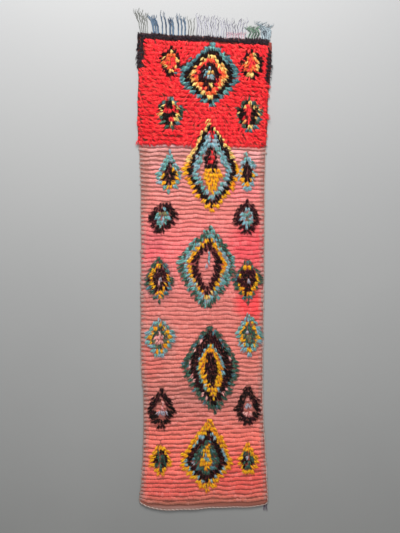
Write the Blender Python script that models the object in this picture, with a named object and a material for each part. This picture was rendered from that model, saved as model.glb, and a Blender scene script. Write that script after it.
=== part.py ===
"""A boucherouite runner: a long, narrow knotted and woven rug, lying flat with its pile up.

Metres, +Z up. +Y points to the head end, where the deep pile and the long fringe are, and
+X to the right as seen from above with the head away. The origin is on the floor, in the
middle of everything's outline. Places on the rug are worked out from two measures: "along",
the distance from the foot edge up the middle line, and "across", the distance from it.
"""

import math
import random
from dataclasses import dataclass, replace

import bmesh
import bpy

# Where the foot edge crosses the middle line, seen from the origin
FOOT_X = -0.009
FOOT_Y = -1.487

# Zones along the rug, from the foot to the head
HEM_LENGTH = 0.026
FLAT_ROWS = 82
FLAT_ROW_PITCH = 0.0263
PILE_ROWS = 27
PILE_ROW_PITCH = 0.0240
FLAT_START = HEM_LENGTH
PILE_START = FLAT_START + FLAT_ROWS * FLAT_ROW_PITCH
HEAD = PILE_START + PILE_ROWS * PILE_ROW_PITCH
BORDER_LENGTH = 0.27

# The loom's rows aren't square to the sides: they fan, so the left side is longer
FOOT_TILT = 0.045
HEAD_TILT = -0.055

# The foot's two corners are rounded up, over this width and as far along the rug
LEFT_CORNER_START = -0.22
LEFT_CORNER_WIDTH = 0.155
LEFT_CORNER_LIFT = 0.056
RIGHT_CORNER_START = 0.33
RIGHT_CORNER_WIDTH = 0.060
RIGHT_CORNER_LIFT = 0.010
CORNER_FADE = 0.25

# Heights above the floor
HEM_EDGE = 0.0030
HEM_HEIGHT = 0.0040
VALLEY_HEIGHT = 0.0042
CREST_HEIGHT = 0.0080
KNOT_VALLEY = 0.0135
KNOT_CREST = 0.0165
PILE_FIRST_VALLEY = 0.0110
PILE_VALLEY = 0.0148
PILE_CREST = 0.0182

# The low band along each side edge
SELVEDGE_HEIGHT = 0.0045
SELVEDGE_WIDTH = 0.028
RIM_HEIGHT = 0.0075
RIM_WIDTH = 0.014

# Unevenness: points' spacing along a line, lumps' size, and how far locks hang over an edge
FLAT_SPACING = 0.125
HEM_SPACING = 0.060
LUMP_SPACING = 0.044
KNOT_SPACING = 0.080
FLAT_LUMP = 0.0005
PILE_LUMP = 0.0018
STEP_RUN = 0.0025
TIP_WIDTH = 0.030
LONG_WAVE = 0.0022
SHORT_WAVE = 0.0016
WEFT_TURN = 0.0012
PILE_LOCK = 0.0035
BORDER_LOCK = 0.0085
HEAD_LOCK = 0.0090
HEAD_LOCK_SPACING = 0.018

# Fringe
PART_GAP = 0.0005
STRIP_LENGTH = 0.006
STRIP_HEIGHT = 0.0035
CORNER_GAP = 0.0010
CORNER_STRIP_LENGTH = 0.004
STRAND_STEPS = 5
STRAND_TAPER = 0.45
SWAY_TURNS = 5.0
STRAND_TURN = 0.35


@dataclass(frozen=True)
class Edge:
    """Where the two side edges lie, at a distance along the rug."""

    along: float
    left: float
    right: float


EDGES = (
    Edge(along=0.000, left=-0.372, right=0.386),
    Edge(along=0.021, left=-0.378, right=0.392),
    Edge(along=0.069, left=-0.373, right=0.390),
    Edge(along=0.171, left=-0.365, right=0.384),
    Edge(along=0.351, left=-0.355, right=0.375),
    Edge(along=0.531, left=-0.351, right=0.364),
    Edge(along=0.681, left=-0.353, right=0.361),
    Edge(along=0.861, left=-0.367, right=0.361),
    Edge(along=1.011, left=-0.369, right=0.363),
    Edge(along=1.491, left=-0.367, right=0.369),
    Edge(along=1.941, left=-0.369, right=0.371),
    Edge(along=2.091, left=-0.375, right=0.375),
    Edge(along=2.187, left=-0.384, right=0.379),
    Edge(along=2.301, left=-0.389, right=0.387),
    Edge(along=2.451, left=-0.388, right=0.390),
    Edge(along=2.571, left=-0.382, right=0.400),
    Edge(along=2.691, left=-0.386, right=0.410),
    Edge(along=2.832, left=-0.386, right=0.412),
)


@dataclass(frozen=True)
class Lozenge:
    """A raised, knotted lozenge: its widest line's middle, its half width and its two points."""

    across: float
    along: float
    half: float
    up: float
    down: float
    up_swell: float
    down_swell: float


# The four large lozenges down the ribbed field, then the pairs beside them, from the head
# down. A swell of 1 is a straight side, and more is a rounder one.
LOZENGES = (
    Lozenge(across=0.048, along=2.013, half=0.171, up=0.312, down=0.228, up_swell=1.4, down_swell=1.8),
    Lozenge(across=0.036, along=1.479, half=0.177, up=0.222, down=0.300, up_swell=1.15, down_swell=1.9),
    Lozenge(across=0.051, along=0.843, half=0.168, up=0.258, down=0.270, up_swell=1.8, down_swell=2.2),
    Lozenge(across=0.030, along=0.273, half=0.153, up=0.258, down=0.168, up_swell=1.7, down_swell=1.65),
    Lozenge(across=-0.204, along=1.989, half=0.078, up=0.156, down=0.096, up_swell=1.2, down_swell=1.7),
    Lozenge(across=0.276, along=2.001, half=0.056, up=0.132, down=0.108, up_swell=1.4, down_swell=1.6),
    Lozenge(across=-0.231, along=1.749, half=0.090, up=0.102, down=0.114, up_swell=1.5, down_swell=2.2),
    Lozenge(across=0.273, along=1.743, half=0.084, up=0.099, down=0.114, up_swell=1.6, down_swell=2.2),
    Lozenge(across=-0.258, along=1.365, half=0.086, up=0.135, down=0.135, up_swell=1.3, down_swell=2.0),
    Lozenge(across=0.270, along=1.359, half=0.090, up=0.132, down=0.123, up_swell=1.2, down_swell=1.7),
    Lozenge(across=-0.258, along=1.017, half=0.094, up=0.117, down=0.120, up_swell=1.7, down_swell=1.8),
    Lozenge(across=0.283, along=1.041, half=0.078, up=0.123, down=0.126, up_swell=1.5, down_swell=1.5),
    Lozenge(across=-0.240, along=0.597, half=0.080, up=0.123, down=0.126, up_swell=1.5, down_swell=2.4),
    Lozenge(across=0.273, along=0.597, half=0.078, up=0.150, down=0.117, up_swell=1.2, down_swell=1.9),
    Lozenge(across=-0.252, along=0.291, half=0.072, up=0.102, down=0.102, up_swell=1.3, down_swell=1.5),
    Lozenge(across=0.273, along=0.285, half=0.068, up=0.102, down=0.102, up_swell=1.3, down_swell=1.5),
)


@dataclass(frozen=True)
class Bunch:
    """Fringe strands that leave one stretch of the head edge in the same manner."""

    start: float
    end: float
    count: int
    length: float
    width: float
    height: float
    lean_start: float
    lean_end: float
    sway: float


BUNCHES = (
    Bunch(start=-0.373, end=-0.330, count=5, length=0.124, width=0.0036, height=0.0030,
          lean_start=-0.20, lean_end=-0.03, sway=0.003),
    Bunch(start=-0.293, end=-0.266, count=3, length=0.110, width=0.0085, height=0.0055,
          lean_start=-0.20, lean_end=-0.15, sway=0.002),
    Bunch(start=-0.240, end=-0.175, count=4, length=0.112, width=0.0100, height=0.0055,
          lean_start=-0.08, lean_end=-0.04, sway=0.004),
    Bunch(start=-0.145, end=-0.105, count=3, length=0.112, width=0.0080, height=0.0050,
          lean_start=-0.05, lean_end=0.00, sway=0.003),
    Bunch(start=-0.084, end=-0.058, count=3, length=0.096, width=0.0040, height=0.0035,
          lean_start=0.00, lean_end=0.16, sway=0.003),
    Bunch(start=-0.034, end=0.096, count=11, length=0.116, width=0.0046, height=0.0035,
          lean_start=0.02, lean_end=-0.03, sway=0.005),
    Bunch(start=0.112, end=0.256, count=11, length=0.108, width=0.0046, height=0.0035,
          lean_start=-0.02, lean_end=0.05, sway=0.005),
    Bunch(start=0.276, end=0.328, count=4, length=0.060, width=0.0060, height=0.0040,
          lean_start=0.08, lean_end=0.22, sway=0.003),
    Bunch(start=0.356, end=0.400, count=5, length=0.082, width=0.0062, height=0.0050,
          lean_start=-0.04, lean_end=0.20, sway=0.002),
)

# The loose ends at the foot's right corner
CORNER_BUNCH = Bunch(start=0.3679, end=0.3811, count=3, length=0.042, width=0.0036, height=0.0030,
                     lean_start=-0.03, lean_end=0.13, sway=0.001)

RED_YARN = (0.72, 0.035, 0.045)
BLUE_YARN = (0.10, 0.16, 0.24)
PLUM_YARN = (0.10, 0.07, 0.10)


def mixed(low, high, share):
    """The value that lies this share of the way from low to high."""
    return low + (high - low) * share


def edges_at(along):
    """The two side edges at a distance along the rug, smooth between the measured places."""
    along = min(max(along, EDGES[0].along), EDGES[-1].along)
    for lower, upper in zip(EDGES, EDGES[1:]):
        if along <= upper.along:
            share = (along - lower.along) / (upper.along - lower.along)
            share = share * share * (3 - 2 * share)
            return mixed(lower.left, upper.left, share), mixed(lower.right, upper.right, share)
    return EDGES[-1].left, EDGES[-1].right


def corner_lift(across, along):
    """How far the foot's two corners are rounded up, fading away from the foot."""
    left = max(0.0, LEFT_CORNER_START - across) / LEFT_CORNER_WIDTH
    right = max(0.0, across - RIGHT_CORNER_START) / RIGHT_CORNER_WIDTH
    lift = LEFT_CORNER_LIFT * left**2 + RIGHT_CORNER_LIFT * right**2
    return lift * max(0.0, 1 - along / CORNER_FADE) ** 2


def ripple(across, along):
    """The loom rows' slow waves: a long one and a short one."""
    long_wave = LONG_WAVE * math.sin(across * 19 + along * 5)
    return long_wave + SHORT_WAVE * math.sin(across * 41 - along * 9)


def place(across, along):
    """A point of the rug, in the rug's plane, seen from the origin."""
    tilt = mixed(FOOT_TILT, HEAD_TILT, along / HEAD)
    lift = tilt * across + corner_lift(across, along) + ripple(across, along)
    return FOOT_X + across, FOOT_Y + along + lift


def lozenge_rise(lozenge, along):
    """How far a line of the rug passes above the lozenge's widest line, or below it."""
    tilt = mixed(FOOT_TILT, HEAD_TILT, along / HEAD)
    return along + tilt * lozenge.across - lozenge.along


def lozenge_reach(lozenge, along):
    """Half the lozenge's width at a distance along the rug, or 0 beyond its points."""
    rise = lozenge_rise(lozenge, along)
    share = rise / lozenge.up if rise > 0 else -rise / lozenge.down
    swell = lozenge.up_swell if rise > 0 else lozenge.down_swell
    return lozenge.half * (1 - share**swell) if share < 1 else 0.0


@dataclass(frozen=True)
class Line:
    """One line of points across the top: a rib's or a pile row's crest, or a valley."""

    along: float
    height: float
    edge_height: float
    edge_width: float
    spacing: float
    lump: float = 0.0
    lock: float = 0.0
    knot_height: float = 0.0

    def stations(self, rng):
        """(across, height) of each point, from the left edge to the right one."""
        left, right = edges_at(self.along)
        left -= self.lock * rng.uniform(0.5, 1.0)
        right += self.lock * rng.uniform(0.5, 1.0)
        inner_left, inner_right = left + self.edge_width, right - self.edge_width
        count = max(2, round((inner_right - inner_left) / self.spacing))
        found = [(left, self.edge_height)]
        for k in range(count + 1):
            across = mixed(inner_left, inner_right, k / count)
            found.append((across, self.height + self.lump * rng.uniform(-1, 1)))
        found.append((right, self.edge_height))
        if self.knot_height:
            for lozenge in LOZENGES:
                found = self.with_lozenge(found, lozenge, rng)
        return found

    def with_lozenge(self, found, lozenge, rng):
        """The stations again, with the lozenge raised out of them if the line crosses it."""
        reach = lozenge_reach(lozenge, self.along)
        if reach < 2 * STEP_RUN:
            rise = lozenge_rise(lozenge, self.along)
            if -lozenge.down - FLAT_ROW_PITCH < rise < lozenge.up + FLAT_ROW_PITCH:
                sides = (-TIP_WIDTH, 0, TIP_WIDTH)
                found += [(lozenge.across + side, self.height) for side in sides]
            return sorted(found)
        low = max(lozenge.across - reach, found[0][0] + 2 * STEP_RUN)
        high = min(lozenge.across + reach, found[-1][0] - 2 * STEP_RUN)
        found = [s for s in found if s[0] < low - STEP_RUN or s[0] > high + STEP_RUN]
        found += [(low - STEP_RUN, self.height), (high + STEP_RUN, self.height)]
        count = max(1, round((high - low) / KNOT_SPACING))
        for k in range(count + 1):
            across = mixed(low, high, k / count)
            found.append((across, self.knot_height + PILE_LUMP * rng.uniform(-0.5, 0.5)))
        return sorted(found)


def hem_lines():
    """The turned-under hem, lower towards the foot edge."""
    return [
        Line(0.0, HEM_EDGE, HEM_EDGE, SELVEDGE_WIDTH, HEM_SPACING),
        Line(HEM_LENGTH / 2, HEM_HEIGHT, HEM_EDGE, SELVEDGE_WIDTH, FLAT_SPACING),
    ]


def flat_lines():
    """The ribbed field: a valley, then a crest, for each rib, and the knotted lozenges on it."""
    valley = Line(
        along=PILE_START - STEP_RUN,
        height=VALLEY_HEIGHT,
        edge_height=SELVEDGE_HEIGHT,
        edge_width=SELVEDGE_WIDTH,
        spacing=FLAT_SPACING,
        knot_height=KNOT_VALLEY,
    )
    crest = replace(
        valley, height=CREST_HEIGHT, lump=FLAT_LUMP, lock=WEFT_TURN, knot_height=KNOT_CREST
    )
    lines = []
    for row in range(FLAT_ROWS):
        start = FLAT_START + row * FLAT_ROW_PITCH
        lines.append(replace(valley, along=start))
        lines.append(replace(crest, along=start + FLAT_ROW_PITCH / 2))
    lines.append(valley)
    return lines


def pile_lines():
    """The deep pile: a valley and a crest for each row of knots, with locks at both sides."""
    valley = Line(
        along=PILE_START,
        height=PILE_FIRST_VALLEY,
        edge_height=RIM_HEIGHT,
        edge_width=RIM_WIDTH,
        spacing=LUMP_SPACING,
        lump=PILE_LUMP,
    )
    lines = []
    for row in range(PILE_ROWS):
        start = PILE_START + row * PILE_ROW_PITCH
        lock = BORDER_LOCK if start > HEAD - BORDER_LENGTH else PILE_LOCK
        lines.append(replace(valley, along=start, height=PILE_VALLEY) if row else valley)
        crest = start + PILE_ROW_PITCH / 2
        lines.append(replace(valley, along=crest, height=PILE_CREST, lock=lock))
    return lines


def head_rim(rng):
    """The head's rim: the tips of the dark locks and the notches between them."""
    left, right = edges_at(HEAD)
    count = 2 * round((right - left) / HEAD_LOCK_SPACING / 2)
    points = []
    for k in range(count + 1):
        across = mixed(left, right, k / count)
        out = HEAD_LOCK * rng.uniform(0.7, 1.0) if k % 2 else 0.0
        x, y = place(across, HEAD)
        points.append((x, y + out, RIM_HEIGHT * rng.uniform(0.6, 1.0)))
    return points


def zip_lines(mesh, lower, upper):
    """Triangles between two lines of points, each made with the shorter of two diagonals."""
    i, j = 0, 0
    last_i, last_j = len(lower) - 1, len(upper) - 1
    while i < last_i or j < last_j:
        lower_step = (lower[i + 1].co - upper[j].co).length if i < last_i else math.inf
        upper_step = (upper[j + 1].co - lower[i].co).length if j < last_j else math.inf
        if upper_step < lower_step:
            mesh.faces.new((lower[i], upper[j + 1], upper[j]))
            j += 1
        else:
            mesh.faces.new((lower[i], lower[i + 1], upper[j]))
            i += 1


def close_below(mesh, rim):
    """Walls down to the floor from a ring of top points, given anticlockwise, and the underside."""
    floor = [mesh.verts.new((v.co.x, v.co.y, 0.0)) for v in rim]
    for k, top in enumerate(rim):
        after = (k + 1) % len(rim)
        mesh.faces.new((top, floor[k], floor[after], rim[after]))
    mesh.faces.new(list(reversed(floor)))


def finished(mesh, name, colour):
    """The object for a mesh, with its own yarn material."""
    data = bpy.data.meshes.new(name)
    mesh.to_mesh(data)
    mesh.free()
    material = bpy.data.materials.new(name)
    material.use_nodes = True
    shader = material.node_tree.nodes["Principled BSDF"]
    shader.inputs["Base Color"].default_value = (*colour, 1)
    shader.inputs["Roughness"].default_value = 0.95
    shader.inputs["Metallic"].default_value = 0.0
    data.materials.append(material)
    obj = bpy.data.objects.new(name, data)
    bpy.context.scene.collection.objects.link(obj)
    return obj


def rug_cloth():
    """The rug itself, one woven and knotted piece: ribs, raised lozenges and deep pile."""
    rng = random.Random(11)
    mesh = bmesh.new()
    lines = []
    for line in hem_lines() + flat_lines() + pile_lines():
        points = [(*place(across, line.along), z) for across, z in line.stations(rng)]
        lines.append([mesh.verts.new(p) for p in points])
    lines.append([mesh.verts.new(p) for p in head_rim(rng)])
    for lower, upper in zip(lines, lines[1:]):
        zip_lines(mesh, lower, upper)
    rim = lines[0] + [line[-1] for line in lines[1:-1]] + lines[-1][::-1]
    rim += [line[0] for line in reversed(lines[1:-1])]
    close_below(mesh, rim)
    return finished(mesh, "rug_cloth", RED_YARN)


def strand_outline(root_x, root_y, toward, width, length, lean, sway, turn):
    """The two sides of a strand that lies on the floor, from its root to its tip."""
    sides = []
    for k in range(1, STRAND_STEPS + 1):
        share = k / STRAND_STEPS
        half = width / 2 * (1 - STRAND_TAPER * share**2)
        bend = sway * math.sin(turn + SWAY_TURNS * share) * share
        x = root_x + lean * length * share + bend
        y = root_y + toward * length * share
        sides.append(((x - half, y), (x + half, y)))
    return sides


def add_strand(mesh, base, outline, height):
    """A four-sided strand with a flat foot, drawn out of a face of the strip.

    base holds the face's points: floor left, floor right, top right and top left.
    """
    floor_left, floor_right, top_right, top_left = base
    for k, ((left_x, y), (right_x, _)) in enumerate(outline):
        z = height * (1 - STRAND_TAPER * ((k + 1) / len(outline)) ** 2)
        ring = [
            mesh.verts.new((left_x, y, 0.0)),
            mesh.verts.new((right_x, y, 0.0)),
            mesh.verts.new((right_x, y, z)),
            mesh.verts.new((left_x, y, z)),
        ]
        before = [floor_left, floor_right, top_right, top_left]
        for a in range(4):
            b = (a + 1) % 4
            mesh.faces.new((before[a], before[b], ring[b], ring[a]))
        floor_left, floor_right, top_right, top_left = ring
    mesh.faces.new((floor_left, floor_right, top_right, top_left))


def comb(name, colour, strands, back_line, front_line, height):
    """A strip with strands drawn out of its front face, in one body.

    strands holds (left, right, outline, height) along the strip, from left to right. The two
    lines give the strip's back and front edge at a place across the rug.
    """
    mesh = bmesh.new()
    cuts = sorted({x for left, right, _, _ in strands for x in (left, right)})
    columns = []
    for x in cuts:
        back, front = back_line(x), front_line(x)
        corners = ((back, 0.0), (front, 0.0), (front, height), (back, height))
        columns.append([mesh.verts.new((x, y, z)) for y, z in corners])
    taken = {left: (outline, tall) for left, _, outline, tall in strands}
    for x, here, there in zip(cuts, columns, columns[1:]):
        mesh.faces.new((here[0], here[1], there[1], there[0]))
        mesh.faces.new((here[2], here[3], there[3], there[2]))
        mesh.faces.new((here[3], here[0], there[0], there[3]))
        if x in taken:
            add_strand(mesh, (here[1], there[1], there[2], here[2]), *taken[x])
        else:
            mesh.faces.new((here[1], here[2], there[2], there[1]))
    mesh.faces.new((columns[0][3], columns[0][2], columns[0][1], columns[0][0]))
    mesh.faces.new(columns[-1])
    bmesh.ops.recalc_face_normals(mesh, faces=mesh.faces[:])
    return finished(mesh, name, colour)


def bunch_strands(bunch, front_line, toward, rng):
    """(left, right, outline, height) of each of a bunch's strands, from left to right."""
    strands = []
    for k in range(bunch.count):
        share = k / (bunch.count - 1)
        x = FOOT_X + mixed(bunch.start, bunch.end, share)
        lean = mixed(bunch.lean_start, bunch.lean_end, share) + rng.uniform(-0.012, 0.012)
        length = bunch.length * rng.uniform(0.80, 1.08)
        width = bunch.width * rng.uniform(0.85, 1.15)
        turn = k * STRAND_TURN + rng.uniform(-0.2, 0.2)
        outline = strand_outline(x, front_line(x), toward, width, length, lean, bunch.sway, turn)
        strands.append((x - width / 2, x + width / 2, outline, bunch.height))
    return strands


def head_fringe():
    """The warp ends past the head edge, in bunches of their own length, width and lean."""
    rng = random.Random(5)

    def back_line(x):
        return place(x - FOOT_X, HEAD)[1] + HEAD_LOCK + PART_GAP

    def front_line(x):
        return back_line(x) + STRIP_LENGTH

    strands = []
    for bunch in BUNCHES:
        strands += bunch_strands(bunch, front_line, 1, rng)
    return comb("head_fringe", BLUE_YARN, strands, back_line, front_line, STRIP_HEIGHT)


def foot_threads():
    """The few loose warp ends at the foot's right corner."""
    rng = random.Random(3)
    ends = (CORNER_BUNCH.start, CORNER_BUNCH.end)
    edge = min(place(across, 0.0)[1] for across in ends) - CORNER_GAP

    def back_line(_):
        return edge

    def front_line(_):
        return edge - CORNER_STRIP_LENGTH

    strands = bunch_strands(CORNER_BUNCH, front_line, -1, rng)
    return comb("foot_threads", PLUM_YARN, strands, back_line, front_line, CORNER_BUNCH.height)


def clear_scene():
    """Removes whatever the scene already holds."""
    for obj in list(bpy.data.objects):
        bpy.data.objects.remove(obj)


def main():
    """Builds the rug and its loose ends."""
    clear_scene()
    rug_cloth()
    head_fringe()
    foot_threads()


main()
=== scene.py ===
"""Dresses the boucherouite runner: rag ribs, knotted lozenges, deep pile and yarn fringe.

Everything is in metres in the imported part's own frame: +Y runs to the head end, with its deep
pile and fringe, and +Z up out of the pile. A place on the rug is written as two measures,
"across" from the middle line and "along" from the foot edge, as in the part's source.
"""

from __future__ import annotations

import logging
import math
import random
from dataclasses import dataclass, field
from enum import Enum

import bpy
import numpy as np
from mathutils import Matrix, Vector, noise

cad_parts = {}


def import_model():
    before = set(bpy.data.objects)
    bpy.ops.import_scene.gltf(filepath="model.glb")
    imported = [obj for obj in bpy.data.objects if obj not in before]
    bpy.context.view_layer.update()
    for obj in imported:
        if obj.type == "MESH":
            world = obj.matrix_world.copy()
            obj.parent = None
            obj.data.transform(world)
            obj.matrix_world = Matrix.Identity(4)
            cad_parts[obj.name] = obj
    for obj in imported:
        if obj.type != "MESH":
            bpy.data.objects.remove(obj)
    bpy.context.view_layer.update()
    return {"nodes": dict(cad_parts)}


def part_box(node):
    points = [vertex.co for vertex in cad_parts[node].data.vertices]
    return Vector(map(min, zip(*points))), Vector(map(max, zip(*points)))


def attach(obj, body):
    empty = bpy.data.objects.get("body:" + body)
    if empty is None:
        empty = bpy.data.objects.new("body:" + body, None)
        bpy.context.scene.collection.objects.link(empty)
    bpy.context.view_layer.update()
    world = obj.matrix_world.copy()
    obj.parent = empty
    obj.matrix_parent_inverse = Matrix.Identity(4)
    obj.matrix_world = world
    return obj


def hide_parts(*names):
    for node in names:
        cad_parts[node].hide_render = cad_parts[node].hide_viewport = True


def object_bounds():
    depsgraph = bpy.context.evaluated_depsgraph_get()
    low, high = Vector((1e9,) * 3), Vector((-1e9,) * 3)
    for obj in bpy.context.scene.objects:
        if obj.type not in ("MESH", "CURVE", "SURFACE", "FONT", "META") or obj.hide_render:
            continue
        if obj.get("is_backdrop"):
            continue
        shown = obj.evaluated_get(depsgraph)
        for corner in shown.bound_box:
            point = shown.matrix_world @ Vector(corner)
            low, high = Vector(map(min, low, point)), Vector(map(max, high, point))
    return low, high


LOG = logging.getLogger("boucherouite")

Colour = tuple[float, float, float]
Point = tuple[float, float, float]

BODY = "root"
FLOOR_GAP = 0.0002
MM = 1000.0


def dyed(red: int, green: int, blue: int) -> Colour:
    """The colour that a shader takes, from its red, green and blue on a screen, 0 to 255."""
    shares = (value / 255 for value in (red, green, blue))
    return tuple(s / 12.92 if s < 0.04045 else ((s + 0.055) / 1.055) ** 2.4 for s in shares)


def scaled(colour: Colour, by: float) -> Colour:
    """The colour made lighter or darker, with no channel over 1."""
    return tuple(min(1.0, value * by) for value in colour)


def mixed(low: float, high: float, share: float) -> float:
    """The number that lies this share of the way from low to high."""
    return low + (high - low) * share


def linked(name: str, data: bpy.types.ID) -> bpy.types.Object:
    """Puts a new object into the scene.

    Args:
        name: Its name.
        data: Its mesh, lamp or camera.

    Returns:
        The object.
    """
    made = bpy.data.objects.new(name, data)
    bpy.context.scene.collection.objects.link(made)
    return made


class Wire:
    """A node's output, which Python arithmetic turns into Math nodes."""

    def __init__(self, graph: Graph, socket: bpy.types.NodeSocket) -> None:
        """Wraps the socket of a node in this graph."""
        self.graph = graph
        self.socket = socket

    def _maths(self, operation: str, first: Wire | float, second: Wire | float) -> Wire:
        """A Math node on two values."""
        return self.graph.node("ShaderNodeMath", {"operation": operation}, {0: first, 1: second})

    def __add__(self, other: Wire | float) -> Wire:
        """self + other."""
        return self._maths("ADD", self, other)

    def __radd__(self, other: float) -> Wire:
        """other + self."""
        return self._maths("ADD", other, self)

    def __sub__(self, other: Wire | float) -> Wire:
        """self - other."""
        return self._maths("SUBTRACT", self, other)

    def __rsub__(self, other: float) -> Wire:
        """other - self."""
        return self._maths("SUBTRACT", other, self)

    def __mul__(self, other: Wire | float) -> Wire:
        """self * other."""
        return self._maths("MULTIPLY", self, other)

    def __rmul__(self, other: float) -> Wire:
        """other * self."""
        return self._maths("MULTIPLY", other, self)

    def __truediv__(self, other: Wire | float) -> Wire:
        """self / other."""
        return self._maths("DIVIDE", self, other)

    def __gt__(self, other: Wire | float) -> Wire:
        """1 where self is over other, and 0 elsewhere."""
        return self._maths("GREATER_THAN", self, other)

    def clamped(self) -> Wire:
        """The value kept between 0 and 1."""
        settings = {"operation": "ADD", "use_clamp": True}
        return self.graph.node("ShaderNodeMath", settings, {0: self, 1: 0.0})


class Graph:
    """A node tree, shader or geometry, that is written as expressions."""

    def __init__(self, tree: bpy.types.NodeTree) -> None:
        """Writes into this tree."""
        self.tree = tree

    @staticmethod
    def _socket(sockets: bpy.types.bpy_prop_collection, key: int | str) -> bpy.types.NodeSocket:
        """The socket in use with that name, or with that place among those in use."""
        used = [s for s in sockets if s.enabled]
        return used[key] if isinstance(key, int) else next(s for s in used if s.name == key)

    def _feed(self, socket: bpy.types.NodeSocket, value: object) -> None:
        """Links wires to an input, or sets its value.

        Args:
            socket: The input.
            value: A wire, a list of wires, a colour or another value.
        """
        if isinstance(value, (Wire, list)):
            for wire in value if isinstance(value, list) else [value]:
                self.tree.links.new(wire.socket, socket)
        elif socket.type == "RGBA":
            socket.default_value = (*value[:3], 1.0)
        else:
            socket.default_value = value

    def node(
        self,
        kind: str,
        settings: dict[str, object] | None = None,
        inputs: dict[int | str, object] | None = None,
        output: int | str = 0,
    ) -> Wire:
        """Adds a node.

        Args:
            kind: The node's type, such as "ShaderNodeMath".
            settings: Its properties, set before its sockets; "stops" are a ramp's stops.
            inputs: A value, a wire or a list of wires for each input, by name or place.
            output: The output that the wire is for, by name or place.

        Returns:
            The wire of that output.
        """
        made = self.tree.nodes.new(kind)
        for name, value in (settings or {}).items():
            if name == "stops":
                self._set_stops(made.color_ramp, value)
            else:
                setattr(made, name, value)
        for key, value in (inputs or {}).items():
            self._feed(self._socket(made.inputs, key), value)
        return Wire(self, self._socket(made.outputs, output))

    @staticmethod
    def _set_stops(ramp: bpy.types.ColorRamp, stops: list[tuple[float, Colour]]) -> None:
        """Fills a ramp.

        Args:
            ramp: The ramp.
            stops: The place and the colour of each stop.
        """
        while len(ramp.elements) < len(stops):
            ramp.elements.new(0.5)
        for element, (place, colour) in zip(ramp.elements, stops):
            element.position = place
            element.color = (*colour, 1.0)

    def axis(self, vector: Wire, name: str) -> Wire:
        """A vector's number along X, Y or Z."""
        return self.node("ShaderNodeSeparateXYZ", inputs={"Vector": vector}, output=name)

    def vectors(self, operation: str, first: Wire | Point, second: Wire | Point) -> Wire:
        """A Vector Math node on two vectors."""
        return self.node("ShaderNodeVectorMath", {"operation": operation}, {0: first, 1: second})


class Surface(Graph):
    """A material, whose patterns lie in the frame of the piece that wears it."""

    def __init__(self, name: str) -> None:
        """Starts a material.

        Args:
            name: The material's name.
        """
        self.material = bpy.data.materials.new(name)
        self.material.use_nodes = True
        super().__init__(self.material.node_tree)

    def blend(self, share: Wire | float, first: Wire | Colour, second: Wire | Colour) -> Wire:
        """A colour mixed from two, with a share of 0 for the first and 1 for the second."""
        inputs = {"Factor": share, "A": first, "B": second}
        return self.node("ShaderNodeMix", {"data_type": "RGBA"}, inputs, "Result")

    def attribute(self, name: str) -> Wire:
        """A number that the mesh holds under this name."""
        return self.node("ShaderNodeAttribute", {"attribute_name": name}, output="Fac")

    def here(self) -> Wire:
        """The shaded point, in the piece's own frame."""
        return self.node("ShaderNodeTexCoord", output="Object")

    def noise(self, scale: float, detail: float = 2.0, stretch: Point = (1, 1, 1)) -> Wire:
        """Soft noise between 0 and 1.

        Args:
            scale: Its bumps a metre.
            detail: How much finer noise it holds.
            stretch: How much denser it is along X, Y and Z.

        Returns:
            The wire of the noise.
        """
        where = self.node("ShaderNodeMapping", inputs={"Vector": self.here(), "Scale": stretch})
        inputs = {"Vector": where, "Scale": scale, "Detail": detail}
        return self.node("ShaderNodeTexNoise", inputs=inputs)

    def finish(
        self,
        colour: Wire,
        roughness: Wire | float,
        fixed: dict[str, float],
        relief: tuple[Wire, float, float] | None = None,
    ) -> bpy.types.Material:
        """Feeds the shader.

        Args:
            colour: The base colour.
            roughness: The roughness.
            fixed: What is the same all over, by the shader's own names.
            relief: A height between 0 and 1, its depth in metres and its strength.

        Returns:
            The material.
        """
        values = {"Base Color": colour, "Roughness": roughness, **fixed}
        if relief:
            inputs = dict(zip(("Height", "Distance", "Strength"), relief))
            values["Normal"] = self.node("ShaderNodeBump", inputs=inputs)
        for name, value in values.items():
            self._feed(self.tree.nodes["Principled BSDF"].inputs[name], value)
        return self.material


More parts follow.
